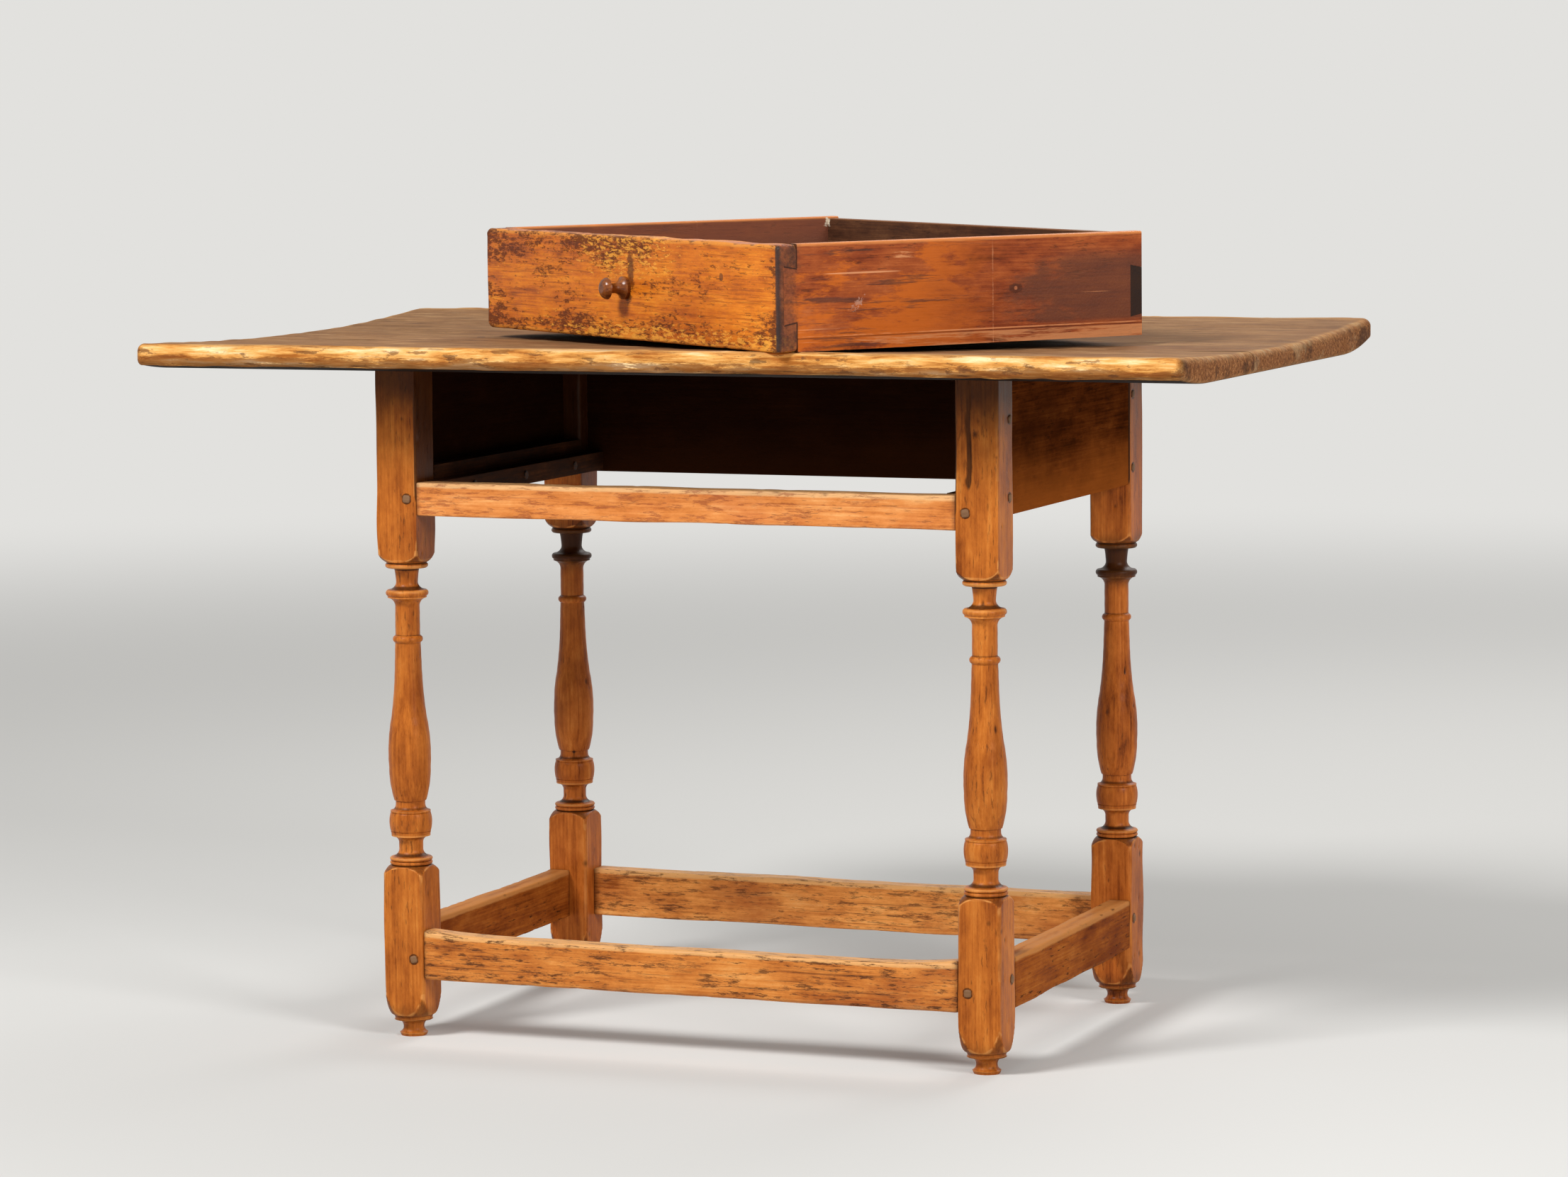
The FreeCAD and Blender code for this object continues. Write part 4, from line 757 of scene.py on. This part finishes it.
def make_top_board(name, end, side, seed, material, dents):
    """The board's section, flat below over the frame and a parabola above, is carried along its
    length. Towards each end the rim follows the rounded corner and both faces round over."""
    cup, far_cup = (CUP_FRONT, CUP_BACK)[::-side]
    bow = np.radians(np.linspace(0, 90, 14))
    near_end = top_half_length - END_REACH * (1 - np.sin(bow))
    run = np.arange(END_REACH - top_half_length, top_half_length - END_REACH, TOP_ROW)
    rows = np.concatenate([-near_end[::-1], run[1:], near_end])[:, None]
    from_end = top_half_length - np.abs(rows)

    def drawn_in(radius):
        """How far a rounding of this radius draws in near the ends."""
        return radius * quarter_round(from_end / radius)

    def upper(y):
        """The upper face: the thickness and a parabola that rises to the rim."""
        return TOP_THICK + np.where(y < 0, far_cup, cup) * (y / top_half_depth) ** 2

    def lower(y):
        """The lower face: flat over the frame, then a parabola to the rim."""
        return cup * np.clip((y - seat_y) / (top_half_depth - seat_y), 0, 1) ** 2

    rim = top_half_depth - np.where(rows < 0, drawn_in(LEFT_CORNERS[end]), drawn_in(RIGHT_CORNERS[end]))
    up_inset, low_inset = drawn_in(TOP_ROUND_UP), drawn_in(TOP_ROUND_LOW)
    up_round = np.maximum(TOP_ROUND_UP - up_inset, LEAST_ROUND)
    low_round = np.maximum(TOP_ROUND_LOW - low_inset, LEAST_ROUND)
    seam = side * seam_y
    span = top_half_depth - seam
    flat = np.linspace(TOP_COLUMN / span, 1, int(span / TOP_COLUMN))
    share = np.concatenate([SEAM_STEPS / span, flat])[None]
    quarter = np.radians(np.linspace(0, 90, 9))
    rising, falling = quarter[None, 1:], quarter[None, :0:-1]
    face_y = seam + share[:, ::-1] * (rim - up_round - seam)
    under_y = seam + share * (rim - low_round - seam)
    face_z = upper(face_y) - up_inset - SEAM_EASE * quarter_round((face_y - seam) / SEAM_EASE)
    under_z = lower(under_y) + low_inset
    lower_nose_y = rim - low_round + low_round * np.sin(rising)
    lower_nose_z = lower(rim - low_round) + low_inset + low_round * (1 - np.cos(rising))
    upper_nose_y = rim - up_round + up_round * np.sin(falling)
    upper_nose_z = upper(rim - up_round) - up_inset - up_round * (1 - np.cos(falling))
    y = np.concatenate([under_y, lower_nose_y, upper_nose_y, face_y], axis=1)
    z = np.concatenate([under_z, lower_nose_z, upper_nose_z, face_z], axis=1)
    lean = np.concatenate([0 * share, rising, math.pi - falling, math.pi + 0 * share], axis=1)
    parts = np.repeat(range(4), [share.size, rising.size, falling.size, share.size])[None]
    on_nose = (parts == LOWER_NOSE) | (parts == UPPER_NOSE)

    mid = len(rows) // 2
    walk = np.concatenate([[0], np.cumsum(np.hypot(np.diff(y[mid]), np.diff(z[mid])))])[None]
    draw = np.random.default_rng(seed)
    bruise = np.zeros(y.shape)
    spots = [(draw.choice(np.flatnonzero(on_nose)), draw.uniform(3, 13), draw.uniform(0.9, 2.0),
              draw.uniform(0.4, 1.2)) for _ in range(TOP_CHIPS)]
    spots += [(draw.choice(np.flatnonzero(parts == FACE)), draw.uniform(2, 7), draw.uniform(1, 3),
               draw.uniform(0.15, 0.45)) for _ in range(dents)]
    for column, long, tall, depth in spots:
        place = draw.uniform(-top_half_length, top_half_length)
        gap = ((walk - walk[0, column]) / (tall * mm)) ** 2 + ((rows - place) / (long * mm)) ** 2
        bruise += depth * mm * np.exp(-gap)
    swell = TOP_SWELL * ripple(seed + 1, walk, 0.3 * rows, TOP_SWELL_LENGTH)
    ragged = on_nose * NOSE_RAG * ripple(seed + 2, walk, 0.25 * rows, NOSE_RAG_LENGTH)
    calm = np.clip(from_end / END_CALM, 0, 1) * (parts != UNDERSIDE)
    move = (swell + ragged - np.minimum(bruise, DEEPEST_CHIP)) * calm
    grid = np.stack([rows + 0 * y, side * (y + move * np.sin(lean)), top_base + z - move * np.cos(lean)],
                    axis=-1)
    to_rim = np.minimum(rim - y, 2 * from_end)
    faded = 0.5 * np.clip(1 - (to_rim - TOP_ROUND_UP) / NOSE_FADE, 0, 1) ** 2
    turned_up = np.where(parts == UPPER_NOSE, 0.5 + 0.5 * np.sin(lean) ** 2, 1)
    nose = np.where(on_nose, turned_up, faded)
    seam_dirt = 1.3 * (parts == FACE) * np.clip(1 - (y - seam) / SEAM_DIRT, 0, 1)
    # The underside mark is painted shade; it stops just short of the ends.
    attributes = {"nose": nose, "low": (parts == LOWER_NOSE) + 0 * y, "worn": 0.5 * nose,
                  "end": np.clip(1 - from_end / END_GRAIN, 0, 1) + 0 * y,
                  "under": (parts == UNDERSIDE) * np.clip(from_end / mm - 3, 0, 1),
                  "grime": np.maximum(np.clip(bruise / (1.2 * mm), 0, 1), seam_dirt)}
    grid = grid[:, ::side]
    attributes = {label: values[:, ::side] for label, values in attributes.items()}
    fit_piece(f"weathered_{name}", grid, attributes, material, "table", name)


front_pine = top_pine("front_board_pine", (0.37, 0.21, 0.13))
rear_pine = top_pine("rear_board_pine", (0.71, 0.43, 0.29))
make_top_board("top_board_front", "front", -1, 31, front_pine, 40)
make_top_board("top_board_rear", "back", 1, 32, rear_pine, 60)


# Drawer front: one board in amber varnish, crackled red-brown above and left, flaked to bare yellow
# above the knob and along its foot. The single big tail of each side shows in its ends.

DRAWER_WIDTH, DRAWER_HEIGHT, FRONT_THICK = 551 * mm, 99 * mm, 22 * mm
LEFT_CORNER, RIGHT_CORNER, FRONT_ROUND = 8 * mm, 3.5 * mm, 2.5 * mm
FRONT_ROW, FRONT_COLUMN = 3 * mm, 2.2 * mm
FRONT_DENTS, FRONT_RUB, FRONT_SWELL = 60, 0.4 * mm, 0.2 * mm
TAIL_PROUD = 0.3 * mm
TAIL_MIDDLE, TAIL_HALF, TAIL_FLARE, FRONT_LAP = 51.5 * mm, 24.5 * mm, 2.5 / 14, 8 * mm
# The second of these points is the middle of a painted shadow under the knob.
DRIP, KNOB_SHADOW, KNOT = (0.011, 0, 0.064), (0.006, 0, 0.041), (0.178, 0, 0.066)
DRAWER_PLACE = (-76.554 * mm, -164.597 * mm, 681.893 * mm)
DRAWER_TURN, DRAWER_LEAN = math.radians(36.4), math.radians(0.3982)
drawer_stand = Matrix.Rotation(DRAWER_LEAN, 3, "X") @ Matrix.Rotation(-DRAWER_TURN, 3, "Z")
DRAWER_ALONG = (0, 0, DRAWER_TURN)


def brought_home(spot, place, turn):
    """Coordinates as they are before a piece is turned and put in its place."""
    inputs = {"Vector": spot, "Location": place, "Rotation": turn}
    return node("ShaderNodeMapping", inputs, vector_type="TEXTURE").outputs[0]


def drawer_spot(tree):
    """Where a point lies in the drawer, whole and in parts: across from its middle, back from its
    face, and up."""
    spot = brought_home(object_place(tree), DRAWER_PLACE, tuple(drawer_stand.to_euler()))
    return spot, *node("ShaderNodeSeparateXYZ", {0: spot}).outputs


def near(spot, point, reach, ragged, squeeze):
    """One close to a point of the drawer and zero beyond reach, with a ragged rim. Squeeze is the weight
    of each axis in the distance."""
    apart = node("ShaderNodeVectorMath", {0: spot, 1: point}, operation="SUBTRACT").outputs[0]
    apart = node("ShaderNodeVectorMath", {0: apart, 1: squeeze}, operation="MULTIPLY").outputs[0]
    away = node("ShaderNodeVectorMath", {0: apart}, operation="LENGTH").outputs["Value"]
    return between(weigh((away, 1.0), (ragged, reach * 0.9)), reach * 1.5, reach * 1.2)


def fine_line(value, level):
    """A line less than two millimetres wide where a value is at a level."""
    return between(off(value, level), 0.9 * mm, 0.4 * mm)


def tail_seam(back, up):
    """A thin line round the tail: as far above and below its middle as the tail is half high there,
    which grows towards its tip."""
    half = weigh((maths("SUBTRACT", FRONT_THICK, back), TAIL_FLARE))
    from_middle = off(up, TAIL_MIDDLE)
    gap = off(maths("SUBTRACT", from_middle, TAIL_HALF), half)
    along = both(between(gap, 1.0 * mm, 0.5 * mm),
                 between(back, FRONT_LAP, FRONT_LAP + 0.5 * mm),
                 between(back, FRONT_THICK + 0.5 * mm, FRONT_THICK))
    shoulder = both(fine_line(back, FRONT_THICK),
                    between(from_middle, TAIL_HALF, TAIL_HALF + mm))
    return maths("MAXIMUM", along, shoulder)


def varnish_and_knob_shadow(tree, place, colour, rough, height):
    """Red-brown crackle, thick above and left, and bare yellow flakes; a dark drip by the knob and a
    painted shadow just under it, a knot, patchy end grain with a dark arris, the tail's seam, and plain
    brown on the inside."""
    spot, across, back, up = drawer_spot(tree)
    from_middle = off(across, 0)
    pores = patches(place, 0.03, 560, 4, 0.65, 0.53, 0.62)
    crackle = grain(place, 0.3, 300, 8, 0.8)
    spread = grain(place, 0.4, 30, 6, 0.65)
    above = both(between(up, 0.05, 0.085), between(across, 0.09, -0.06))
    below = between(up, 0.034, 0.008)
    ends = between(from_middle, 0.262, 0.272)
    crust = weigh((crackle, 0.7), (spread, 0.42), (above, 0.09), (below, 0.06), (ends, 0.06))
    crust = between(crust, 0.61, 0.67)
    bare = both(between(from_middle, 0.15, 0.03), between(up, 0.045, 0.075))
    foot = both(between(up, 0.024, 0.008), between(across, -0.22, -0.05))
    flake = weigh((grain(place, 0.3, 280, 6, 0.75), 1.0), (bare, 0.12), (foot, 0.13))
    flake = between(flake, 0.62, 0.67)
    torn = weigh((crackle, 3.4), (spread, -2.0))
    drip = near(spot, DRIP, 11 * mm, torn, (1.4, 0, 0.5))
    # Painted shadow of the knob, just under it.
    knob_shadow = near(spot, KNOB_SHADOW, 9 * mm, torn, (1, 0, 0.8))
    knot = near(spot, KNOT, 4 * mm, crackle, (1, 0, 1))
    end_grain = between(from_middle, 0.2728, 0.2746)
    end_tone = blend(patches(spot, 1, 90, 6, 0.7, 0.38, 0.62), (74, 44, 34), (128, 70, 44))
    arris = between(weigh((back, 1.0), (crackle, 9 * mm)), 11 * mm, 7 * mm)
    inside = between(back, FRONT_THICK - 1.2 * mm, FRONT_THICK - 0.4 * mm)
    colour = lay(colour, (pores, 0.5, (132, 62, 14)), (crust, 0.85, (78, 29, 8)),
                 (flake, 0.85, (240, 164, 60)), (drip, 0.75, (66, 23, 9)), (knob_shadow, 0.75, (44, 18, 9)),
                 (knot, 0.7, (72, 36, 18)), (end_grain, 0.9, end_tone),
                 (both(end_grain, arris), 0.8, (44, 38, 38)), (tail_seam(back, up), 0.8, (30, 17, 12)),
                 (inside, 0.85, (82, 48, 32)))
    height = weigh((height, 1.0), (crust, 0.5), (flake, -0.5))
    return colour, weigh((rough, 1.0), (crust, 0.15)), height


AMBER_TONES = ((140, 62, 10), (200, 104, 20), (222, 126, 30), (240, 158, 54))
amber = old_wood("amber_varnish", DRAWER_ALONG, (0.2, 0.4, 0.6), AMBER_TONES, (0.5, (166, 76, 14)),
                 (0.6, (226, 150, 62)), (0.7, GRIME_AND_SHADE), gloss=(0.28, 0.5), flecks=0.6, finish=varnish_and_knob_shadow)


def make_drawer_front(seed):
    """The rounded section carried along the board. Near each end its height shrinks along the arc
    of the corner and its face turns back; its upper edge is rubbed wavy and its edges are dented."""
    reach = DRAWER_WIDTH / 2 - TAIL_PROUD
    bow = np.radians(np.linspace(0, 90, 12))
    run = np.arange(LEFT_CORNER - reach, reach - RIGHT_CORNER, FRONT_ROW)[1:]
    rows = np.concatenate([LEFT_CORNER * (1 - np.cos(bow)) - reach, run,
                           reach - RIGHT_CORNER * (1 - np.cos(bow[::-1]))])[:, None]
    inset = np.concatenate([LEFT_CORNER * (1 - np.sin(bow)), 0 * run,
                            RIGHT_CORNER * (1 - np.sin(bow[::-1]))])[:, None]
    setback = FRONT_ROUND * quarter_round((reach - np.abs(rows)) / FRONT_ROUND)
    half_thick, half_high = FRONT_THICK / 2, DRAWER_HEIGHT / 2
    section, outward, from_edge = section_loop(half_thick, half_high, FRONT_ROUND, FRONT_COLUMN)
    back, up = section.T[:, None]
    rubbed = FRONT_RUB * (1 + np.clip(ripple(seed, 0 * rows, rows, 80 * mm), -1, 1.5))
    rise = up * (1 - inset / half_high) - rubbed * np.clip(5 * up / half_high - 4, 0, 1) ** 2
    draw = np.random.default_rng(seed)
    bruise = np.zeros(rise.shape)
    dents = (draw.choice(np.flatnonzero(from_edge == 0), FRONT_DENTS),
             draw.uniform(-reach, reach, FRONT_DENTS), draw.uniform(1.5, 6, FRONT_DENTS),
             draw.uniform(0.2, 0.9, FRONT_DENTS))
    for column, place, long, depth in zip(*dents):
        gap = np.linalg.norm(section - section[column], axis=1)
        bruise += depth * mm * np.exp(-(gap / (2 * mm)) ** 2 - ((rows - place) / (long * mm)) ** 2)
    swell = FRONT_SWELL * ripple(seed + 1, back + up, rows, 60 * mm) * (from_edge > 0)
    move = np.minimum(swell, 0) - bruise
    face = 0.5 - back / FRONT_THICK
    grid = np.stack([rows + 0 * rise, back + half_thick + setback * face + move * outward[:, 0],
                     rise + half_high + move * outward[:, 1]], axis=-1)
    grid = grid @ np.array(drawer_stand).T + np.array(DRAWER_PLACE)
    attributes = {"worn": 0.7 * np.exp(-from_edge / (2.5 * mm)),
                  "grime": np.clip(bruise / (0.8 * mm), 0, 1)}
    fit_piece("varnished_drawer_front", grid, attributes, amber, "drawer", "drawer_front")


make_drawer_front(41)


# Drawer sides: red-brown stained boards, dovetailed to the front with one big tail and to the back.
# Scratched and rubbed outside, with dull blistered varnish towards the back and a scribed foot.

SIDE_FACE = DRAWER_WIDTH / 2
DRAWER_ACROSS = (0, 0, DRAWER_TURN - math.pi / 2)
RED_TONES = ((92, 36, 15), (142, 64, 28), (168, 84, 38), (198, 112, 58))
NAIL, SMEAR = (SIDE_FACE, 0.264, 0.05), (SIDE_FACE, 0.088, 0.042)
SCORE, SCRAPE = (SIDE_FACE, 0.094, 0.0705), (SIDE_FACE, 0.136, 0.0845)
SMEAR_LEAN = (math.radians(42), 0, 0)
RULED_BACK, SCRIBED_UP, LIP_UP = 238 * mm, 11.8 * mm, 13.4 * mm
CORNER_CHIP = (-0.2625, 0.396, 0.093)


def corner_chip(spot, ragged):
    """A coat to lay: a pale chip at the inner corner of the left side and the back."""
    return near(spot, CORNER_CHIP, 3.8 * mm, ragged, (0.8, 0.8, 0.6)), 0.9, (226, 212, 188)


def side_wear_and_light(tree, place, colour, rough, height):
    """Orange patches and grey streaks towards the front, dull blisters towards the back, scratches and
    an upright ruled line; a nail in its stain, a slanted smear, a scored and a scraped place; a rubbed
    foot with a scribed line and a lip above it, a rubbed upper edge, a brown tail, a plain inside made
    paler as painted light, and a pale chip."""
    spot, across, back, up = drawer_spot(tree)
    broad = grain(place, 0.3, 30, 7, 0.7)
    patch = grain(place, 0.35, 34, 7, 0.7)
    strip = grain(place, 0.06, 150, 6, 0.75)
    fine = grain(place, 1, 260, 4, 0.65)
    forward = between(weigh((back, 1.0), (broad, 0.2)), 0.38, 0.26)
    orange = both(between(broad, 0.46, 0.55), forward)
    grey = patches(place, 0.07, 110, 6, 0.7, 0.55, 0.63)
    dull = both(between(weigh((back, 2.2), (patch, 0.8)), 0.94, 1.12),
                between(weigh((up, 1.0), (patch, 0.02)), 0.1, 0.08), between(up, 0.012, 0.02))
    scratch = both(patches(place, 0.015, 260, 4, 0.65, 0.62, 0.67),
                   patches(place, 0.3, 13, 3, 0.55, 0.45, 0.55))
    ruled = between(weigh((off(back, RULED_BACK), 1.0), (fine, 2.2 * mm)), 2.0 * mm, 1.3 * mm)
    ruled = both(ruled, between(patch, 0.45, 0.56))
    stain = near(spot, NAIL, 5 * mm, fine, (0, 0.6, 1))
    nail = near(spot, NAIL, 2 * mm, fine, (0, 1, 1))
    smeared = weigh((fine, 3.6), (broad, -1.6))
    smear = near(brought_home(spot, SMEAR, SMEAR_LEAN), (0, 0, 0), 8 * mm, smeared, (0, 0.5, 1.6))
    scored = near(spot, SCORE, 0.9 * mm, strip, (0, 0.021, 1))
    scraped = near(spot, SCRAPE, 5 * mm, weigh((strip, 3.6), (broad, -1.8)), (0, 0.22, 1))
    rubbed = between(weigh((back, 1.3), (strip, 1.6)), 0.98, 1.2)
    foot = both(between(up, 0.0115, 0.0105), rubbed)
    scribed = fine_line(up, SCRIBED_UP)
    lip = both(fine_line(up, LIP_UP), between(strip, 0.42, 0.52))
    brow = between(weigh((up, 1.0), (strip, 6 * mm)), 0.0985, 0.1005)
    tail = between(weigh((back, 1.0), (broad, 0.03), (fine, 0.012)), 0.048, 0.036)
    tail_tone = blend(between(fine, 0.4, 0.6), (76, 46, 36), (122, 70, 48))
    # The plain inside of the sides, its tone raised as painted light.
    inside = both(between(off(across, 0), SIDE_FACE - 3 * mm, SIDE_FACE - 5 * mm),
                  between(up, 0.0985, 0.096))
    colour = lay(colour, (orange, 0.8, (204, 104, 28)),
                 (both(grey, between(back, 0.27, 0.17)), 0.65, (66, 44, 38)),
                 (dull, 0.75, (94, 58, 44)), (scratch, 0.75, (232, 156, 104)),
                 (ruled, 0.45, (214, 142, 96)), (stain, 0.6, (60, 30, 18)), (nail, 0.8, (184, 112, 74)),
                 (smear, 0.42, (206, 168, 148)), (scored, 0.7, (230, 160, 112)),
                 (scraped, 0.7, (228, 158, 106)), (foot, 0.75, (210, 142, 92)),
                 (scribed, 0.5, (82, 38, 20)), (lip, 0.7, (226, 150, 98)),
                 (brow, 0.7, (220, 138, 74)), (tail, 0.65, tail_tone),
                 (tail_seam(back, up), 0.8, (30, 17, 12)), (inside, 0.75, (124, 76, 58)),
                 corner_chip(spot, weigh((fine, 3.4), (broad, -1.6))))
    rough = weigh((rough, 1.0), (dull, 0.2), (inside, 0.25))
    blister = both(grain(place, 1, 420, 2, 0.5), maths("MAXIMUM", dull, weigh((grey, 0.6))))
    height = weigh((height, 1.0), (blister, 1.6), (scratch, -0.4), (scribed, -1.0), (ruled, -0.5))
    return colour, rough, height


red_side = old_wood("red_side", DRAWER_ACROSS, (0.3, 0.8, 0.1), RED_TONES, (0.5, (116, 46, 20)),
                    (0.5, (190, 120, 70)), (0.8, GRIME_AND_SHADE), gloss=(0.32, 0.55), sheen=0.15,
                    finish=side_wear_and_light)
finish_nodes(red_side, "drawer_left_side", "drawer_right_side")


# Drawer back and bottom: dark pine. The back's wide pins show, nearly black, in the sides; the
# bottom slides in from behind, in grooves, and is nailed up into the back.

INSIDE_TONES = ((44, 24, 14), (70, 40, 24), (92, 56, 34), (122, 82, 52))


def inside_wear(tree, place, colour, rough, height):
    """Nearly black where the pins come through the sides, a pale chip at the left corner, and a rubbed
    upper edge."""
    spot, across, back, up = drawer_spot(tree)
    pins = between(off(across, 0), SIDE_FACE - 3 * mm, SIDE_FACE - 1 * mm)
    ragged = weigh((grain(place, 1, 260, 4, 0.65), 3.4), (1.0, -0.8))
    brow = between(up, 0.0955, 0.0968)
    colour = lay(colour, (pins, 0.85, (38, 26, 21)), corner_chip(spot, ragged),
                 (brow, 0.5, (150, 96, 56)))
    return colour, rough, height


drawer_pine = old_wood("drawer_pine", DRAWER_ALONG, (0.6, 0.2, 0.9), INSIDE_TONES, (0.5, (40, 22, 13)),
                       (0.4, (150, 108, 70)), (0.8, GRIME_AND_SHADE), gloss=(0.55, 0.8), finish=inside_wear)
finish_nodes(drawer_pine, "drawer_back", "drawer_bottom")


# Drawer knob: turned in one piece with its shank, which goes through the front.
# Its walnut is mid-brown and polished by hands.

WALNUT_TONES = ((58, 26, 9), (98, 48, 17), (128, 68, 25), (164, 98, 42))
walnut = old_wood("knob_walnut", DRAWER_ACROSS, (0.5, 0.5, 0.2), WALNUT_TONES, (0.5, (48, 24, 11)),
                  (0.3, (150, 96, 54)), (0.6, GRIME_AND_SHADE), gloss=(0.14, 0.26), sheen=0.35)
finish_nodes(walnut, "drawer_knob")


# Studio: a pale matt floor that fades, further out, into a pale room of the same tone.
# Three soft round lamps light the table, and the camera stands where the photograph was taken.

PALE, FLOOR_PALE = srgb((226, 225, 222)), srgb((214, 213, 210))
FLOOR_NEAR, FLOOR_RADIUS = 2.0, 30.0
FADE = (2.0, 6.0)
world = bpy.data.worlds.new("pale_room")
bpy.context.scene.world = world
world.use_nodes = True
sky = world.node_tree
sky.nodes.clear()
rays = node("ShaderNodeLightPath", {}, sky)
seen = maths("MAXIMUM", rays.outputs["Is Camera Ray"], rays.outputs["Is Glossy Ray"])
seen = maths("MAXIMUM", seen, rays.outputs["Is Transmission Ray"])
lit = node("ShaderNodeBackground", {"Color": PALE, "Strength": 0.3}, sky)
shown = node("ShaderNodeBackground", {"Color": PALE, "Strength": 1.0}, sky)
room = node("ShaderNodeMixShader", {0: seen, 1: lit.outputs[0], 2: shown.outputs[0]})
node("ShaderNodeOutputWorld", {"Surface": room.outputs[0]})

floor_paint, paint = bare_material("pale_floor")
reach = node("ShaderNodeVectorMath", {0: object_place(paint)}, operation="LENGTH").outputs["Value"]
matt = node("ShaderNodeBsdfDiffuse", {"Color": FLOOR_PALE}, paint)
glow = node("ShaderNodeEmission", {"Color": PALE, "Strength": 1.0}, paint)
faded = {0: between(reach, *FADE), 1: matt.outputs[0], 2: glow.outputs[0]}
faded = node("ShaderNodeMixShader", faded)
node("ShaderNodeOutputMaterial", {"Surface": faded.outputs[0]})

ring = np.concatenate([np.linspace(0, FLOOR_NEAR, 21)[1:], np.geomspace(2.2, FLOOR_RADIUS, 24)])[:, None]
around = np.linspace(0, 2 * math.pi, 97)[:-1]
floor_points = np.stack([ring * np.cos(around), ring * np.sin(around), 0 * ring * around], axis=-1)
corner_index = np.arange(ring.size * around.size).reshape(ring.size, around.size)
next_corner = np.roll(corner_index, -1, axis=1)
floor_faces = np.stack([corner_index[:-1], corner_index[1:], next_corner[1:], next_corner[:-1]], axis=-1)
floor_mesh = bpy.data.meshes.new("floor")
floor_mesh.from_pydata(floor_points.reshape(-1, 3), [],
                       floor_faces.reshape(-1, 4).tolist() + [corner_index[0].tolist()])
floor_mesh.materials.append(floor_paint)
floor = bpy.data.objects.new("floor", floor_mesh)
bpy.context.scene.collection.objects.link(floor)


def soft_lamp(name, place, aim, size, power):
    """A round lamp at a place, turned towards its aim."""
    lamp = bpy.data.lights.new(name, "AREA")
    lamp.shape = "DISK"
    lamp.size = size
    lamp.energy = power
    holder = bpy.data.objects.new(name, lamp)
    bpy.context.scene.collection.objects.link(holder)
    x, y, z = np.array(place) - np.array(aim)
    holder.location = place
    holder.rotation_euler = (math.atan2(math.hypot(x, y), z), 0, math.atan2(y, x) + math.pi / 2)


soft_lamp("key", (-1.7, -3.3, 3.8), (0, 0, 0.45), 1.4, 205)
soft_lamp("side", (3.5, -2.0, 2.2), (0, 0, 0.5), 1.5, 95)
soft_lamp("back", (0.6, 3.0, 3.0), (0, 0, 0.6), 2.2, 65)

YAW, PITCH, ROLL = (math.radians(angle) for angle in (21.845, 5.825, 0.509))
lens = bpy.data.cameras.new("camera")
lens.sensor_fit = "HORIZONTAL"
lens.sensor_width = 36
lens.lens = 120.75
lens.clip_end = 200
camera = bpy.data.objects.new("camera", lens)
bpy.context.scene.collection.objects.link(camera)
camera.location = (1.93412, -4.77877, 0.95436)
aimed = (Matrix.Rotation(YAW, 3, "Z") @ Matrix.Rotation(math.pi / 2 - PITCH, 3, "X")
         @ Matrix.Rotation(-ROLL, 3, "Z"))
camera.rotation_euler = aimed.to_euler()
bpy.context.scene.camera = camera
bpy.context.scene.view_settings.view_transform = "Standard"
